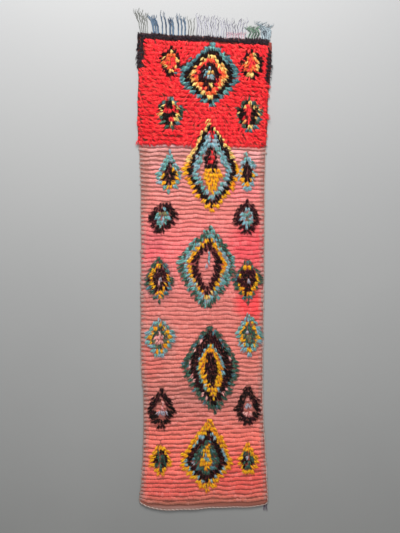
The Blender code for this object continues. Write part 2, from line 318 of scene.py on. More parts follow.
class Recipe(Graph):
    """A Geometry Nodes tree with named sizes, which grows pieces of yarn on a mesh."""

    def __init__(self, name: str, sizes: dict[str, float | int]) -> None:
        """Starts the tree.

        Args:
            name: The tree's name.
            sizes: Its named inputs with their values.
        """
        super().__init__(bpy.data.node_groups.new(name, "GeometryNodeTree"))
        self.sizes = sizes
        sockets = self.tree.interface
        sockets.new_socket("Geometry", in_out="INPUT", socket_type="NodeSocketGeometry")
        for label, value in sizes.items():
            kind = "NodeSocketInt" if isinstance(value, int) else "NodeSocketFloat"
            sockets.new_socket(label, in_out="INPUT", socket_type=kind)
        sockets.new_socket("Yarn", in_out="INPUT", socket_type="NodeSocketMaterial")
        sockets.new_socket("Geometry", in_out="OUTPUT", socket_type="NodeSocketGeometry")
        self.sources = self.tree.nodes.new("NodeGroupInput")

    def given(self, label: str) -> Wire:
        """The wire of a named input."""
        return Wire(self, self._socket(self.sources.outputs, label))

    def held(self, name: str) -> Wire:
        """A number that each point of the mesh holds under this name."""
        settings = {"data_type": "FLOAT"}
        return self.node("GeometryNodeInputNamedAttribute", settings, {"Name": name}, "Attribute")

    def chance(self, low: float, high: float, draw: int) -> Wire:
        """A random number for each point, from a draw of its own so that two of them differ."""
        inputs = {"Min": low, "Max": high, "Seed": self.given("Seed") + draw}
        return self.node("FunctionNodeRandomValue", {"data_type": "FLOAT"}, inputs)

    def vector(self, x: Wire | float, y: Wire | float, z: Wire | float) -> Wire:
        """Three numbers as one vector."""
        return self.node("ShaderNodeCombineXYZ", inputs={"X": x, "Y": y, "Z": z})

    def marked(self, geometry: Wire, name: str, value: Wire, domain: str) -> Wire:
        """The geometry with a number stored under a name."""
        inputs = {"Geometry": geometry, "Name": name, "Value": value}
        return self.node("GeometryNodeStoreNamedAttribute", {"domain": domain}, inputs)

    def points(self) -> Wire:
        """The points of the mesh that the tree starts from."""
        return self.node("GeometryNodeMeshToPoints", inputs={"Mesh": self.given("Geometry")})

    def moved(self, geometry: Wire, offset: Wire) -> Wire:
        """The geometry with each of its points moved by a vector."""
        return self.node("GeometryNodeSetPosition", inputs={"Geometry": geometry, "Offset": offset})

    def tube(self, curve: Wire, girth: Wire, sides: int, taper: Wire) -> Wire:
        """A yarn along a curve.

        Args:
            curve: The yarn's middle line.
            girth: Its radius at the root.
            sides: How many sides it has.
            taper: How much thinner its tip is, from 0 to 1.

        Returns:
            The wire of the tube, whose points hold how near the tip they are.
        """
        share = self.node("GeometryNodeSplineParameter", output="Factor")
        inputs = {
            "Curve": self.marked(curve, "tip", share, "POINT"),
            "Profile Curve": self.node(
                "GeometryNodeCurvePrimitiveCircle", inputs={"Resolution": sides, "Radius": 1.0}
            ),
            "Scale": (1 - share * share * taper) * girth,
            "Fill Caps": True,
        }
        return self.node("GeometryNodeCurveToMesh", inputs=inputs)

    def scatter(
        self, points: Wire, shapes: list[Wire], turned: Wire, scale: Wire, draw: int
    ) -> None:
        """Ends the tree with a shape on each point, picked at random, and a number for each.

        Args:
            points: Where the shapes go.
            shapes: The shapes to pick from.
            turned: How each one is turned.
            scale: How large each one is along X, Y and Z.
            draw: The pick's draw, and the next is the number's.
        """
        kind = "GeometryNodeGeometryToInstance"
        kinds = [self.node(kind, inputs={"Geometry": shape}) for shape in shapes]
        inputs = {
            "Points": points,
            "Instance": self.node("GeometryNodeJoinGeometry", inputs={"Geometry": kinds}),
            "Pick Instance": True,
            "Instance Index": self.chance(0.0, len(shapes) - 0.01, draw),
            "Rotation": turned,
            "Scale": scale,
        }
        laid = self.node("GeometryNodeInstanceOnPoints", inputs=inputs)
        self.close(self.marked(laid, "strand", self.chance(0.0, 1.0, draw + 1), "INSTANCE"))

    def close(self, geometry: Wire) -> None:
        """Ends the tree: real meshes, none below the floor, shaded smooth, in the yarn.

        Args:
            geometry: What has grown.
        """
        real = self.node("GeometryNodeRealizeInstances", inputs={"Geometry": geometry})
        place = self.node("GeometryNodeInputPosition")
        x, y, z = (self.axis(place, name) for name in "XYZ")
        height = self.node("ShaderNodeMath", {"operation": "MAXIMUM"}, {0: z, 1: FLOOR_GAP})
        inputs = {"Geometry": real, "Position": self.vector(x, y, height)}
        laid = self.node("GeometryNodeSetPosition", inputs=inputs)
        smooth = self.node("GeometryNodeSetShadeSmooth", inputs={"Geometry": laid})
        inputs = {"Geometry": smooth, "Material": self.given("Yarn")}
        dressed = self.node("GeometryNodeSetMaterial", inputs=inputs)
        self.tree.links.new(dressed.socket, self.tree.nodes.new("NodeGroupOutput").inputs[0])

    def grow(self, name: str, bed: Bed, yarn: bpy.types.Material) -> bpy.types.Object:
        """Grows a piece on a bed's points and keeps it as a plain mesh.

        Args:
            name: The piece's name.
            bed: The points.
            yarn: The material of what grows.

        Returns:
            The piece.
        """
        piece = bed.laid(name)
        modifier = piece.modifiers.new("grow", "NODES")
        modifier.node_group = self.tree
        values = {**self.sizes, "Yarn": yarn}
        for item in self.tree.interface.items_tree:
            if item.in_out == "INPUT" and item.name in values:
                modifier[item.identifier] = values[item.name]
        graph = bpy.context.evaluated_depsgraph_get()
        grown = bpy.data.meshes.new_from_object(
            piece.evaluated_get(graph), preserve_all_data_layers=True, depsgraph=graph
        )
        piece.modifiers.remove(modifier)
        piece.data = grown
        grown.name = name
        return piece


@dataclass
class Bed:
    """Points with numbers of their own, bare or tied into runs, for a recipe to grow on."""

    points: list[Point] = field(default_factory=list)
    marks: dict[str, list[float]] = field(default_factory=dict)
    edges: list[tuple[int, int]] = field(default_factory=list)

    def add(self, point: Point, **numbers: float) -> None:
        """Adds a point.

        Args:
            point: Its place.
            numbers: What it holds under each name.
        """
        self.points.append(point)
        for label, value in numbers.items():
            self.marks.setdefault(label, []).append(value)

    def tie(self, count: int) -> None:
        """Ties the last points, as many as count, into a run."""
        last = len(self.points) - 1
        self.edges += [(k, k + 1) for k in range(last - count + 1, last)]

    def laid(self, name: str) -> bpy.types.Object:
        """Makes an object of the points.

        Args:
            name: Its name.

        Returns:
            The object.
        """
        mesh = bpy.data.meshes.new(name)
        mesh.from_pydata(self.points, self.edges, [])
        for label, values in self.marks.items():
            mesh.attributes.new(label, "FLOAT", "POINT").data.foreach_set("value", values)
        return linked(name, mesh)


class Dye(Enum):
    """The yarns that the rug is made of."""

    RED = "red"
    BORDER = "border"
    TEAL = "teal"
    LIGHT_BLUE = "light_blue"
    SEA_GREEN = "sea_green"
    GOLDEN = "golden"
    CREAM = "cream"
    ORANGE_RED = "orange_red"
    DARK_GREEN = "dark_green"
    MAROON = "maroon"
    CHARCOAL = "charcoal"
    PINK = "pink"
    MAUVE = "mauve"
    OLIVE = "olive"
    RAG = "rag"


@dataclass(frozen=True)
class YarnFinish:
    """How a dyed yarn looks.

    colour is the dye, partner a second shade that some strands have, and share how many do; a paler
    partner is also what the painted highlight on each tip blends to. spread is how far the strands'
    brightness varies, and
    root sets the painted shade at the knot: the lower it is, the darker the strands are there.
    """

    colour: Colour
    partner: Colour
    share: float = 0.25
    spread: float = 0.22
    root: float = 0.40
    slot: str = "rug_cloth"
    roughness: float = 0.87
    sheen: float = 0.05

    def material(self, name: str) -> bpy.types.Material:
        """Mixes the material: dye lots, painted shade near the knot, a painted highlight on the tips, and
        a fuzz of fibres.

        Args:
            name: The material's name.

        Returns:
            The material.
        """
        surface = Surface(name)
        strand, tip = surface.attribute("strand"), surface.attribute("tip")
        lot = (surface.attribute("shade") * 0.5 + surface.noise(9.0) * 0.5).clamped()
        fibres = surface.noise(700.0, 3.0)
        dark, light = (scaled(self.colour, 1 + self.spread * sign) for sign in (-1, 1))
        dye = surface.blend((strand * 0.55 + lot * 0.45).clamped(), dark, light)
        odd = surface.node("ShaderNodeMath", {"operation": "FRACT"}, {0: strand * 7.31 + lot * 1.7})
        # Painted shade: strongest at the knot and gone by halfway up the strand.
        painted_root_shade = (1 - tip * 2.0).clamped()
        for share, colour in (
            (odd > (1 - self.share), self.partner),
            (painted_root_shade * (1 - self.root), scaled(self.colour, 0.25)),
            # Painted highlight: the tips turn paler, towards the partner shade.
            ((tip - 0.6) * 0.8, scaled(self.partner, 1.15)),
            ((fibres - 0.4) * 0.5, scaled(self.colour, 0.45)),
        ):
            dye = surface.blend(share.clamped(), dye, colour)
        fixed = {"Sheen Weight": self.sheen, "Sheen Roughness": 0.6, "Specular IOR Level": 0.2}
        return surface.finish(dye, fibres * 0.1 + self.roughness, fixed, (fibres, 0.0012, 0.7))


YARNS: dict[Dye, YarnFinish] = {
    Dye.RED: YarnFinish(dyed(250, 36, 48), dyed(255, 76, 70), 0.25, 0.30, 0.15, slot="red_pile"),
    Dye.BORDER: YarnFinish(dyed(30, 19, 25), dyed(52, 34, 42), 0.25, slot="dark_pile"),
    Dye.TEAL: YarnFinish(dyed(90, 136, 142), dyed(54, 90, 98), 0.35, slot="teal_yarn"),
    Dye.LIGHT_BLUE: YarnFinish(dyed(126, 174, 184), dyed(182, 190, 194), 0.22, slot="light_blue_yarn"),
    Dye.SEA_GREEN: YarnFinish(dyed(118, 176, 168), dyed(86, 138, 132), slot="sea_green_yarn"),
    Dye.GOLDEN: YarnFinish(dyed(255, 182, 20), dyed(252, 148, 18), 0.30, root=0.3, slot="golden_yarn"),
    Dye.CREAM: YarnFinish(dyed(250, 214, 126), dyed(250, 172, 86), 0.30, root=0.2, slot="cream_yarn"),
    Dye.ORANGE_RED: YarnFinish(dyed(244, 88, 48), dyed(250, 150, 70), slot="orange_red_yarn"),
    Dye.DARK_GREEN: YarnFinish(dyed(46, 76, 62), dyed(84, 124, 104), slot="dark_green_yarn"),
    Dye.MAROON: YarnFinish(dyed(46, 17, 23), dyed(72, 24, 32), slot="maroon_yarn", sheen=0.0),
    Dye.CHARCOAL: YarnFinish(dyed(24, 14, 13), dyed(38, 24, 22), slot="maroon_yarn", sheen=0.0),
    Dye.PINK: YarnFinish(dyed(248, 176, 166), dyed(240, 140, 140), slot="pink_yarn"),
    Dye.MAUVE: YarnFinish(dyed(182, 172, 180), dyed(148, 148, 164), slot="mauve_yarn"),
    Dye.OLIVE: YarnFinish(dyed(112, 108, 84), dyed(160, 150, 90), slot="dark_green_yarn"),
}


@dataclass(frozen=True)
class Ring:
    """A band of one lozenge, from these shares of its width, top and bottom inwards."""

    dye: Dye
    wide: float = 1.0
    up: float = 1.0
    down: float = 1.0
    second: Dye | None = None
    speckle: float = 0.4


@dataclass(frozen=True)
class Lozenge:
    """A lozenge of nested bands, placed by its widest line's middle, in millimetres.

    A swell of 1 is a straight side, and more is a rounder one. A skew is how far to the right
    a tip lies of the middle.
    """

    across: float
    along: float
    half: float
    up: float
    down: float
    up_swell: float
    down_swell: float
    rings: tuple[Ring, ...]
    up_skew: float = 0.0
    down_skew: float = 0.0

    def dye_at(self, across: float, rise: float, rng: random.Random) -> Dye | None:
        """The yarn of a knot.

        Args:
            across: The knot's place across the rug, in metres.
            rise: How far above the foot edge's middle it lies, in metres.
            rng: Picks between a band's two yarns.

        Returns:
            The yarn, or None outside the lozenge.
        """
        found = None
        height = rise * MM - self.along
        skew = self.up_skew * height / self.up if height > 0 else -self.down_skew * height / self.down
        side = abs(across * MM - self.across - skew)
        for ring in self.rings:
            reach = self.up * ring.up if height > 0 else self.down * ring.down
            swell = self.up_swell if height > 0 else self.down_swell
            share = abs(height) / max(reach, 1.0)
            if share < 1 and side < self.half * ring.wide * (1 - share**swell):
                odd = ring.second is not None and rng.random() < ring.speckle
                found = ring.second if odd else ring.dye
        return found


def spot(across: float, along: float, half: float, up: float, down: float, dye: Dye) -> Lozenge:
    """A small plain lozenge, in millimetres, that lies on another."""
    return Lozenge(across, along, half, up, down, 2.0, 2.0, (Ring(dye),))


HEAD_MEDALLION = (
    Ring(Dye.TEAL, second=Dye.SEA_GREEN, speckle=0.25),
    Ring(Dye.CHARCOAL, 0.77, 0.84, 0.86),
    Ring(Dye.CREAM, 0.59, 0.66, 0.76, second=Dye.ORANGE_RED, speckle=0.10),
    Ring(Dye.ORANGE_RED, 0.49, 0.56, 0.65, second=Dye.RED, speckle=0.35),
    Ring(Dye.MAROON, 0.35, 0.47, 0.46, second=Dye.CHARCOAL),
    Ring(Dye.CREAM, 0.13, 0.31, 0.12, second=Dye.LIGHT_BLUE, speckle=0.5),
)
CROSSING_MEDALLION = (
    Ring(Dye.GOLDEN),
    Ring(Dye.CHARCOAL, 0.87, 0.93, 0.88),
    Ring(Dye.LIGHT_BLUE, 0.68, 0.80, 0.72, second=Dye.SEA_GREEN, speckle=0.3),
    Ring(Dye.RAG, 0.50, 0.56, 0.60),
)
GREEN_MEDALLION = (
    Ring(Dye.DARK_GREEN, second=Dye.SEA_GREEN, speckle=0.30),
    Ring(Dye.LIGHT_BLUE, 0.81, 0.80, 0.88, second=Dye.SEA_GREEN),
    Ring(Dye.GOLDEN, 0.67, 0.69, 0.78, second=Dye.CREAM, speckle=0.15),
    Ring(Dye.MAROON, 0.53, 0.60, 0.74, second=Dye.CHARCOAL),
    Ring(Dye.RAG, 0.29, 0.34, 0.55),
)
DARK_MEDALLION = (
    Ring(Dye.DARK_GREEN, second=Dye.TEAL, speckle=0.15),
    Ring(Dye.PINK, 0.81, 0.88, 0.86, second=Dye.MAROON, speckle=0.40),
    Ring(Dye.CHARCOAL, 0.77, 0.85, 0.84, second=Dye.MAROON, speckle=0.25),
    Ring(Dye.LIGHT_BLUE, 0.49, 0.60, 0.72, second=Dye.SEA_GREEN),
    Ring(Dye.GOLDEN, 0.42, 0.54, 0.70),
    Ring(Dye.MAROON, 0.23, 0.42, 0.48, second=Dye.CHARCOAL),
)
FOOT_MEDALLION = (
    Ring(Dye.GOLDEN),
    Ring(Dye.LIGHT_BLUE, 0.82, 0.80, 0.80, second=Dye.GOLDEN, speckle=0.30),
    Ring(Dye.CHARCOAL, 0.77, 0.72, 0.70, second=Dye.MAROON),
    Ring(Dye.DARK_GREEN, 0.52, 0.58, 0.44, second=Dye.TEAL, speckle=0.2),
    Ring(Dye.GOLDEN, 0.24, 0.46, 0.28),
    Ring(Dye.LIGHT_BLUE, 0.09, 0.26, 0.05, second=Dye.SEA_GREEN),
)
DARK_EYE = (
    Ring(Dye.CHARCOAL, second=Dye.MAROON, speckle=0.3),
    Ring(Dye.CREAM, 0.62, 0.73, 0.75, second=Dye.ORANGE_RED, speckle=0.18),
    Ring(Dye.ORANGE_RED, 0.46, 0.58, 0.56, second=Dye.RED),
)
GREEN_EYE = (
    Ring(Dye.DARK_GREEN, second=Dye.TEAL, speckle=0.3),
    Ring(Dye.CREAM, 0.76, 0.79, 0.82, second=Dye.CHARCOAL, speckle=0.38),
    Ring(Dye.CHARCOAL, 0.54, 0.58, 0.62, second=Dye.RED, speckle=0.15),
    Ring(Dye.RED, 0.22, 0.30, 0.18),
)
BLUE_EYE = (
    Ring(Dye.LIGHT_BLUE, second=Dye.SEA_GREEN, speckle=0.4),
    Ring(Dye.GOLDEN, 0.70, 0.48, 0.80),
    Ring(Dye.CHARCOAL, 0.48, 0.66, 0.54, second=Dye.MAROON, speckle=0.3),
)
BLACK_EYE = (
    Ring(Dye.MAROON, second=Dye.CHARCOAL, speckle=0.5),
    Ring(Dye.LIGHT_BLUE, 0.47, 0.53, 0.63, second=Dye.SEA_GREEN),
)
MIXED_EYE = (
    Ring(Dye.DARK_GREEN, second=Dye.TEAL, speckle=0.25),
    Ring(Dye.GOLDEN, 0.76, 0.80, 0.80, second=Dye.MAROON, speckle=0.42),
    Ring(Dye.MAROON, 0.50, 0.58, 0.58, second=Dye.CHARCOAL),
)
PALE_EYE = (
    Ring(Dye.LIGHT_BLUE, second=Dye.SEA_GREEN),
    Ring(Dye.GOLDEN, 0.74, 0.78, 0.76, second=Dye.SEA_GREEN, speckle=0.22),
    Ring(Dye.DARK_GREEN, 0.54, 0.60, 0.54, second=Dye.OLIVE, speckle=0.3),
)
DARK_DROP = (
    Ring(Dye.CHARCOAL, second=Dye.MAROON, speckle=0.3),
    Ring(Dye.RAG, 0.45, 0.54, 0.57),
)
GOLDEN_DROP = (Ring(Dye.GOLDEN), Ring(Dye.DARK_GREEN, 0.60, 0.70, 0.68, second=Dye.CHARCOAL, speckle=0.3))

# From the head down: the large lozenge of each level, its pair beside it, then its spots
LOZENGES: tuple[Lozenge, ...] = (
    Lozenge(36, 2589, 177, 204, 176, 1.5, 1.5, HEAD_MEDALLION, 27, 15),
    spot(45, 2541, 10, 14, 14, Dye.CREAM),
    spot(45, 2592, 9, 14, 14, Dye.LIGHT_BLUE),
    Lozenge(-189, 2679, 66, 96, 96, 1.5, 1.6, DARK_EYE),
    Lozenge(294, 2658, 63, 96, 96, 1.6, 1.6, DARK_EYE),
    spot(-132, 2652, 30, 14, 14, Dye.MAROON),
    Lozenge(-195, 2379, 76, 88, 120, 1.7, 1.6, GREEN_EYE),
    Lozenge(279, 2379, 75, 88, 132, 1.3, 1.7, GREEN_EYE),
    spot(279, 2328, 10, 14, 14, Dye.RED),
    Lozenge(56, 2019, 160, 312, 240, 1.25, 1.6, CROSSING_MEDALLION, -11, 1),
    spot(50, 2199, 34, 70, 40, Dye.LIGHT_BLUE),
    spot(54, 2240, 20, 18, 18, Dye.RED),
    spot(54, 2203, 16, 14, 14, Dye.MAUVE),
    spot(51, 2088, 34, 80, 84, Dye.CHARCOAL),
    spot(60, 2094, 12, 44, 44, Dye.RED),
    Lozenge(58, 1992, 49, 24, 116, 3.0, 1.15, (Ring(Dye.GOLDEN),)),
    spot(34, 2022, 18, 24, 28, Dye.GOLDEN),
    spot(82, 2022, 18, 24, 28, Dye.GOLDEN),
    Lozenge(-200, 1989, 68, 156, 96, 1.1, 1.7, BLUE_EYE),
    Lozenge(268, 2001, 50, 132, 108, 1.2, 1.6, BLUE_EYE),
    spot(285, 1959, 12, 14, 14, Dye.GOLDEN),
    Lozenge(-238, 1749, 80, 98, 110, 1.4, 1.8, BLACK_EYE, 22, -22),
    Lozenge(264, 1743, 73, 100, 112, 1.4, 1.8, BLACK_EYE, 4, 8),
    spot(-237, 1764, 13, 14, 14, Dye.OLIVE),
    spot(273, 1743, 13, 14, 14, Dye.OLIVE),
    Lozenge(22, 1479, 164, 217, 294, 1.2, 1.8, GREEN_MEDALLION, 27, 6),
    spot(36, 1497, 8, 36, 50, Dye.LIGHT_BLUE),
    spot(28, 1449, 9, 16, 16, Dye.MAUVE),
    Lozenge(-260, 1365, 78, 138, 138, 1.3, 1.35, MIXED_EYE),
    Lozenge(270, 1365, 84, 132, 132, 1.2, 1.25, MIXED_EYE),
    spot(-258, 1365, 9, 14, 14, Dye.MAUVE),
    spot(-264, 1335, 9, 14, 14, Dye.PINK),
    spot(276, 1362, 12, 14, 14, Dye.MAUVE),
    Lozenge(-257, 1017, 82, 120, 126, 1.5, 1.3, PALE_EYE),
    Lozenge(279, 1035, 71, 129, 130, 1.4, 1.25, PALE_EYE),
    spot(-258, 1017, 24, 36, 28, Dye.PINK),
    spot(273, 1044, 10, 14, 14, Dye.MAUVE),
    Lozenge(49, 843, 155, 258, 270, 1.6, 1.7, DARK_MEDALLION, -6, 24),
    Lozenge(-245, 597, 70, 126, 120, 1.4, 2.2, DARK_DROP),
    Lozenge(274, 597, 68, 150, 108, 1.1, 1.9, DARK_DROP),
    spot(-240, 578, 23, 18, 30, Dye.MAUVE),
    spot(-240, 611, 17, 16, 15, Dye.PINK),
    spot(271, 600, 15, 24, 16, Dye.MAUVE),
    spot(269, 567, 17, 16, 20, Dye.PINK),
    Lozenge(20, 273, 146, 264, 174, 1.3, 1.4, FOOT_MEDALLION, 23, 5),
    spot(-42, 273, 8, 14, 14, Dye.MAUVE),
    Lozenge(-252, 285, 60, 105, 96, 1.3, 1.5, GOLDEN_DROP),
    Lozenge(272, 285, 54, 102, 96, 1.3, 1.5, GOLDEN_DROP),
    spot(-255, 297, 7, 14, 14, Dye.PINK),
    spot(270, 297, 6, 14, 14, Dye.MAUVE),
)


@dataclass
class Loom:
    """How the rug lies: its rows, their slant and its side edges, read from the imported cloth."""

    foot_x: float = -0.009
    foot_y: float = -1.487
    hem_length: float = 0.026
    flat_rows: int = 82
    flat_pitch: float = 0.0263
    pile_rows: int = 27
    pile_pitch: float = 0.0240
    foot_tilt: float = 0.045
    head_tilt: float = -0.055
    usual_half: float = 0.375
    rim_height: float = 1e-5
    rim_window: int = 5
    sides: list[tuple[np.ndarray, np.ndarray]] = field(default_factory=list)

    @property
    def pile_start(self) -> float:
        """Where the deep pile starts."""
        return self.hem_length + self.flat_rows * self.flat_pitch

    @property
    def head(self) -> float:
        """Where the woven cloth ends."""
        return self.pile_start + self.pile_rows * self.pile_pitch

    def read_edges(self, cloth: bpy.types.Object) -> None:
        """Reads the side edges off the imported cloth's rim on the floor, a little smoothed.

        Args:
            cloth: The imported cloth's node.
        """
        rim = np.array([v.co[:] for v in cloth.data.vertices])
        rim = rim[rim[:, 2] < self.rim_height]
        window = np.ones(self.rim_window) / self.rim_window
        for sign in (-1, 1):
            edge = rim[sign * (rim[:, 0] - self.foot_x) > 0.9 * self.usual_half]
            edge = edge[np.argsort(edge[:, 1])]
            padded = np.pad(edge[:, 0], self.rim_window // 2, mode="edge")
            self.sides.append((edge[:, 1], np.convolve(padded, window, "valid") - self.foot_x))

    def flat_row(self, row: int) -> float:
        """How far along a rib lies."""
        return self.hem_length + (row + 0.5) * self.flat_pitch

    def pile_row(self, row: int) -> float:
        """How far along a row of the deep pile lies."""
        return self.pile_start + (row + 0.5) * self.pile_pitch

    def tilt(self, along: float) -> float:
        """How much a row climbs from left to right."""
        return mixed(self.foot_tilt, self.head_tilt, along / self.head)

    def lift(self, across: float, along: float) -> float:
        """How far up a row's slow waves and the foot's rounded corners move a point.

        Args:
            across: The point's place across, in metres.
            along: Its place along, in metres.

        Returns:
            The distance towards the head, in metres.
        """
        left = 0.056 * (max(0.0, -0.22 - across) / 0.155) ** 2
        right = 0.010 * (max(0.0, across - 0.33) / 0.060) ** 2
        corners = (left + right) * max(0.0, 1 - along / 0.25) ** 2
        long_wave = 0.0022 * math.sin(across * 19 + along * 5)
        return corners + long_wave + 0.0016 * math.sin(across * 41 - along * 9)

    def rise(self, across: float, along: float) -> float:
        """How far above the foot edge's middle a point of a row lies, without its waves."""
        return along + self.tilt(along) * across

    def place(self, across: float, along: float) -> tuple[float, float]:
        """Where a point of the rug is on the floor, in the part's frame."""
        y = self.foot_y + self.rise(across, along) + self.lift(across, along)
        return self.foot_x + across, y

    def edges(self, along: float) -> tuple[float, float]:
        """Where the side edges are, at a distance along.

        Args:
            along: The distance, in metres.

        Returns:
            The left edge's and the right edge's place across.
        """
        found = []
        for half, (ys, xs) in zip((-self.usual_half, self.usual_half), self.sides):
            found.append(float(np.interp(self.place(half, along)[1], ys, xs)))
        return found[0], found[1]


@dataclass(frozen=True)
class Patch:
    """A soft-edged patch of another dye lot on the ribs, in millimetres on the rug."""

    across: float
    along: float
    wide: float
    tall: float
    colour: Colour
    strength: float


# How the rag weft's dye changes from the foot to the head: the distance along, then the colour
RAG_BANDS: tuple[tuple[float, Colour], ...] = (
    (0.000, dyed(198, 172, 162)),
    (0.009, dyed(190, 158, 148)),
    (0.016, dyed(140, 84, 68)),
    (0.034, dyed(156, 94, 76)),
    (0.080, dyed(208, 108, 92)),
    (0.200, dyed(236, 110, 96)),
    (0.420, dyed(230, 112, 98)),
    (0.640, dyed(186, 112, 102)),
    (0.900, dyed(214, 120, 108)),
    (1.250, dyed(202, 113, 105)),
    (1.550, dyed(224, 108, 108)),
    (1.800, dyed(206, 116, 108)),
    (2.030, dyed(204, 128, 122)),
    (2.180, dyed(216, 156, 156)),
    (2.196, dyed(150, 20, 26)),
    (2.798, dyed(150, 20, 26)),
    (2.812, dyed(34, 22, 28)),
)
RAG_PATCHES: tuple[Patch, ...] = (
    Patch(285, 1570, 115, 140, dyed(212, 68, 76), 0.85),
    Patch(300, 1240, 100, 115, dyed(240, 56, 64), 0.85),
    Patch(-300, 1590, 70, 90, dyed(192, 88, 94), 0.70),
    Patch(-280, 1500, 80, 60, dyed(228, 92, 98), 0.60),
    Patch(-265, 1365, 90, 130, dyed(150, 104, 100), 0.70),
    Patch(-257, 1010, 100, 120, dyed(156, 118, 108), 0.70),
    Patch(250, 1900, 120, 60, dyed(244, 110, 120), 0.40),
    Patch(230, 210, 170, 130, dyed(214, 72, 66), 0.60),
    Patch(-200, 120, 190, 70, dyed(222, 78, 74), 0.50),
    Patch(-210, 2120, 190, 44, dyed(166, 104, 90), 0.60),
    Patch(300, 2160, 110, 20, dyed(176, 104, 88), 0.60),
    Patch(-350, 2010, 36, 190, dyed(160, 104, 92), 0.70),
    Patch(362, 2030, 22, 170, dyed(160, 104, 92), 0.60),
    Patch(-310, 900, 90, 120, dyed(206, 92, 84), 0.50),
    Patch(48, 2040, 70, 150, dyed(178, 108, 100), 0.70),
    Patch(30, 1460, 60, 190, dyed(186, 108, 100), 0.70),
    Patch(275, 1365, 80, 110, dyed(136, 72, 66), 0.70),
    Patch(279, 1035, 80, 120, dyed(160, 82, 66), 0.60),
    Patch(268, 2000, 70, 120, dyed(176, 112, 104), 0.45),
    Patch(370, 1050, 18, 650, dyed(134, 104, 96), 0.50),
)


def patch_mask(surface: Surface, loom: Loom, patch: Patch) -> Wire:
    """How strongly a patch colours a point, from its middle outwards.

    Args:
        surface: The material.
        loom: Where the rug lies.
        patch: The patch.

    Returns:
        The wire of the strength.
    """
    middle = (loom.foot_x + patch.across / MM, loom.foot_y + patch.along / MM, 0.0)
    shifted = surface.vectors("SUBTRACT", surface.here(), middle)
    spread = surface.vectors("MULTIPLY", shifted, (MM / patch.wide, MM / patch.tall, 1.0))
    distance = surface.node("ShaderNodeVectorMath", {"operation": "LENGTH"}, {0: spread}, "Value")
    ragged = distance + surface.noise(11.0, 2.0, (0.4, 2.0, 1)) * 0.6
    return ((1.60 - ragged) * 1.6).clamped() * patch.strength


def share_along(surface: Surface, loom: Loom) -> Wire:
    """How far along the rug a point lies, from 0 at the foot to 1 at the head."""
    return (surface.axis(surface.here(), "Y") - loom.foot_y) / loom.head


def weft_dye(surface: Surface, loom: Loom) -> Wire:
    """The rag weft's dye at a point: bands from the foot to the head, then patches.

    Args:
        surface: The material.
        loom: Where the rug lies.

    Returns:
        The wire of the colour.
    """
    stops = [(place / loom.head, colour) for place, colour in RAG_BANDS]
    along = share_along(surface, loom)
    colour = surface.node("ShaderNodeValToRGB", {"stops": stops}, {"Fac": along}, "Color")
    for patch in RAG_PATCHES:
        colour = surface.blend(patch_mask(surface, loom, patch), colour, patch.colour)
    return colour


@dataclass
class GroundWeave:
    """The thin cloth that ribs and knots sit on, from selvedge to selvedge, with its hem."""

    loom: Loom
    thickness: float = 0.0026
    hem_thickness: float = 0.0042
    columns: int = 44
    rows_apart: float = 0.0132
    relief: float = 0.0005
    weave_depth: float = 0.0010
    weft_scale: float = 110.0
    warp_scale: float = 45.0
    dusk: Colour = dyed(140, 84, 72)
    seed: int = 2

    def build(self) -> bpy.types.Object:
        """Weaves the cloth as one closed sheet.

        Returns:
            The sheet.
        """
        rng = random.Random(self.seed)
        count = round(self.loom.head / self.rows_apart)
        top: list[Point] = []
        for row in range(count + 1):
            along = self.loom.head * row / count
            left, right = self.loom.edges(along)
            thick = self.hem_thickness if along < self.loom.hem_length else self.thickness
            for column in range(self.columns + 1):
                across = mixed(left, right, column / self.columns)
                height = thick + rng.uniform(-1, 1) * self.relief
                top.append((*self.loom.place(across, along), height))
        wide = self.columns + 1
        size = len(top)
        faces = []
        for a in (row * wide + column for row in range(count) for column in range(self.columns)):
            faces.append((a, a + 1, a + wide + 1, a + wide))
            faces.append((a + size, a + size + wide, a + size + wide + 1, a + size + 1))
        rim = list(range(wide)) + [k * wide + wide - 1 for k in range(1, count + 1)]
        rim += [count * wide + k for k in range(wide - 2, -1, -1)]
        rim += [k * wide for k in range(count - 1, 0, -1)]
        for a, b in zip(rim, rim[1:] + rim[:1]):
            faces.append((a, a + size, b + size, b))
        mesh = bpy.data.meshes.new("ground_weave")
        mesh.from_pydata(top + [(x, y, 0.0) for x, y, _ in top], [], faces)
        mesh.shade_smooth()
        return linked("ground_weave", mesh)

    def dress(self, piece: bpy.types.Object) -> None:
        """Gives the cloth its fine brown weft, worn paler in the middle, and its weave.

        Args:
            piece: The sheet.
        """
        surface = Surface("ground_weave")
        weft, warp = (
            surface.node(
                "ShaderNodeTexWave",
                {"wave_type": "BANDS", "bands_direction": way},
                {"Vector": surface.here(), "Scale": scale, "Distortion": stray},
                "Fac",
            )
            for way, scale, stray in (("Y", self.weft_scale, 1.5), ("X", self.warp_scale, 0.8))
        )
        worn = surface.noise(6.0, 4.0)
        off_middle = share_along(surface, self.loom) - 0.48
        middle = (1 - off_middle * off_middle * 20).clamped()
        colour = weft_dye(surface, self.loom)
        for share, brown in (
            (0.30 + worn * 0.5 - middle * 0.4, self.dusk),
            (weft * (0.40 - middle * 0.30), scaled(self.dusk, 0.6)),
        ):
            colour = surface.blend(share.clamped(), colour, brown)
        relief = (weft * 0.7 + warp * 0.3, self.weave_depth, 0.8)
        roughness = worn * 0.1 + 0.88
        made = surface.finish(colour, roughness, {"Specular IOR Level": 0.15}, relief)
        piece.data.materials.append(made)


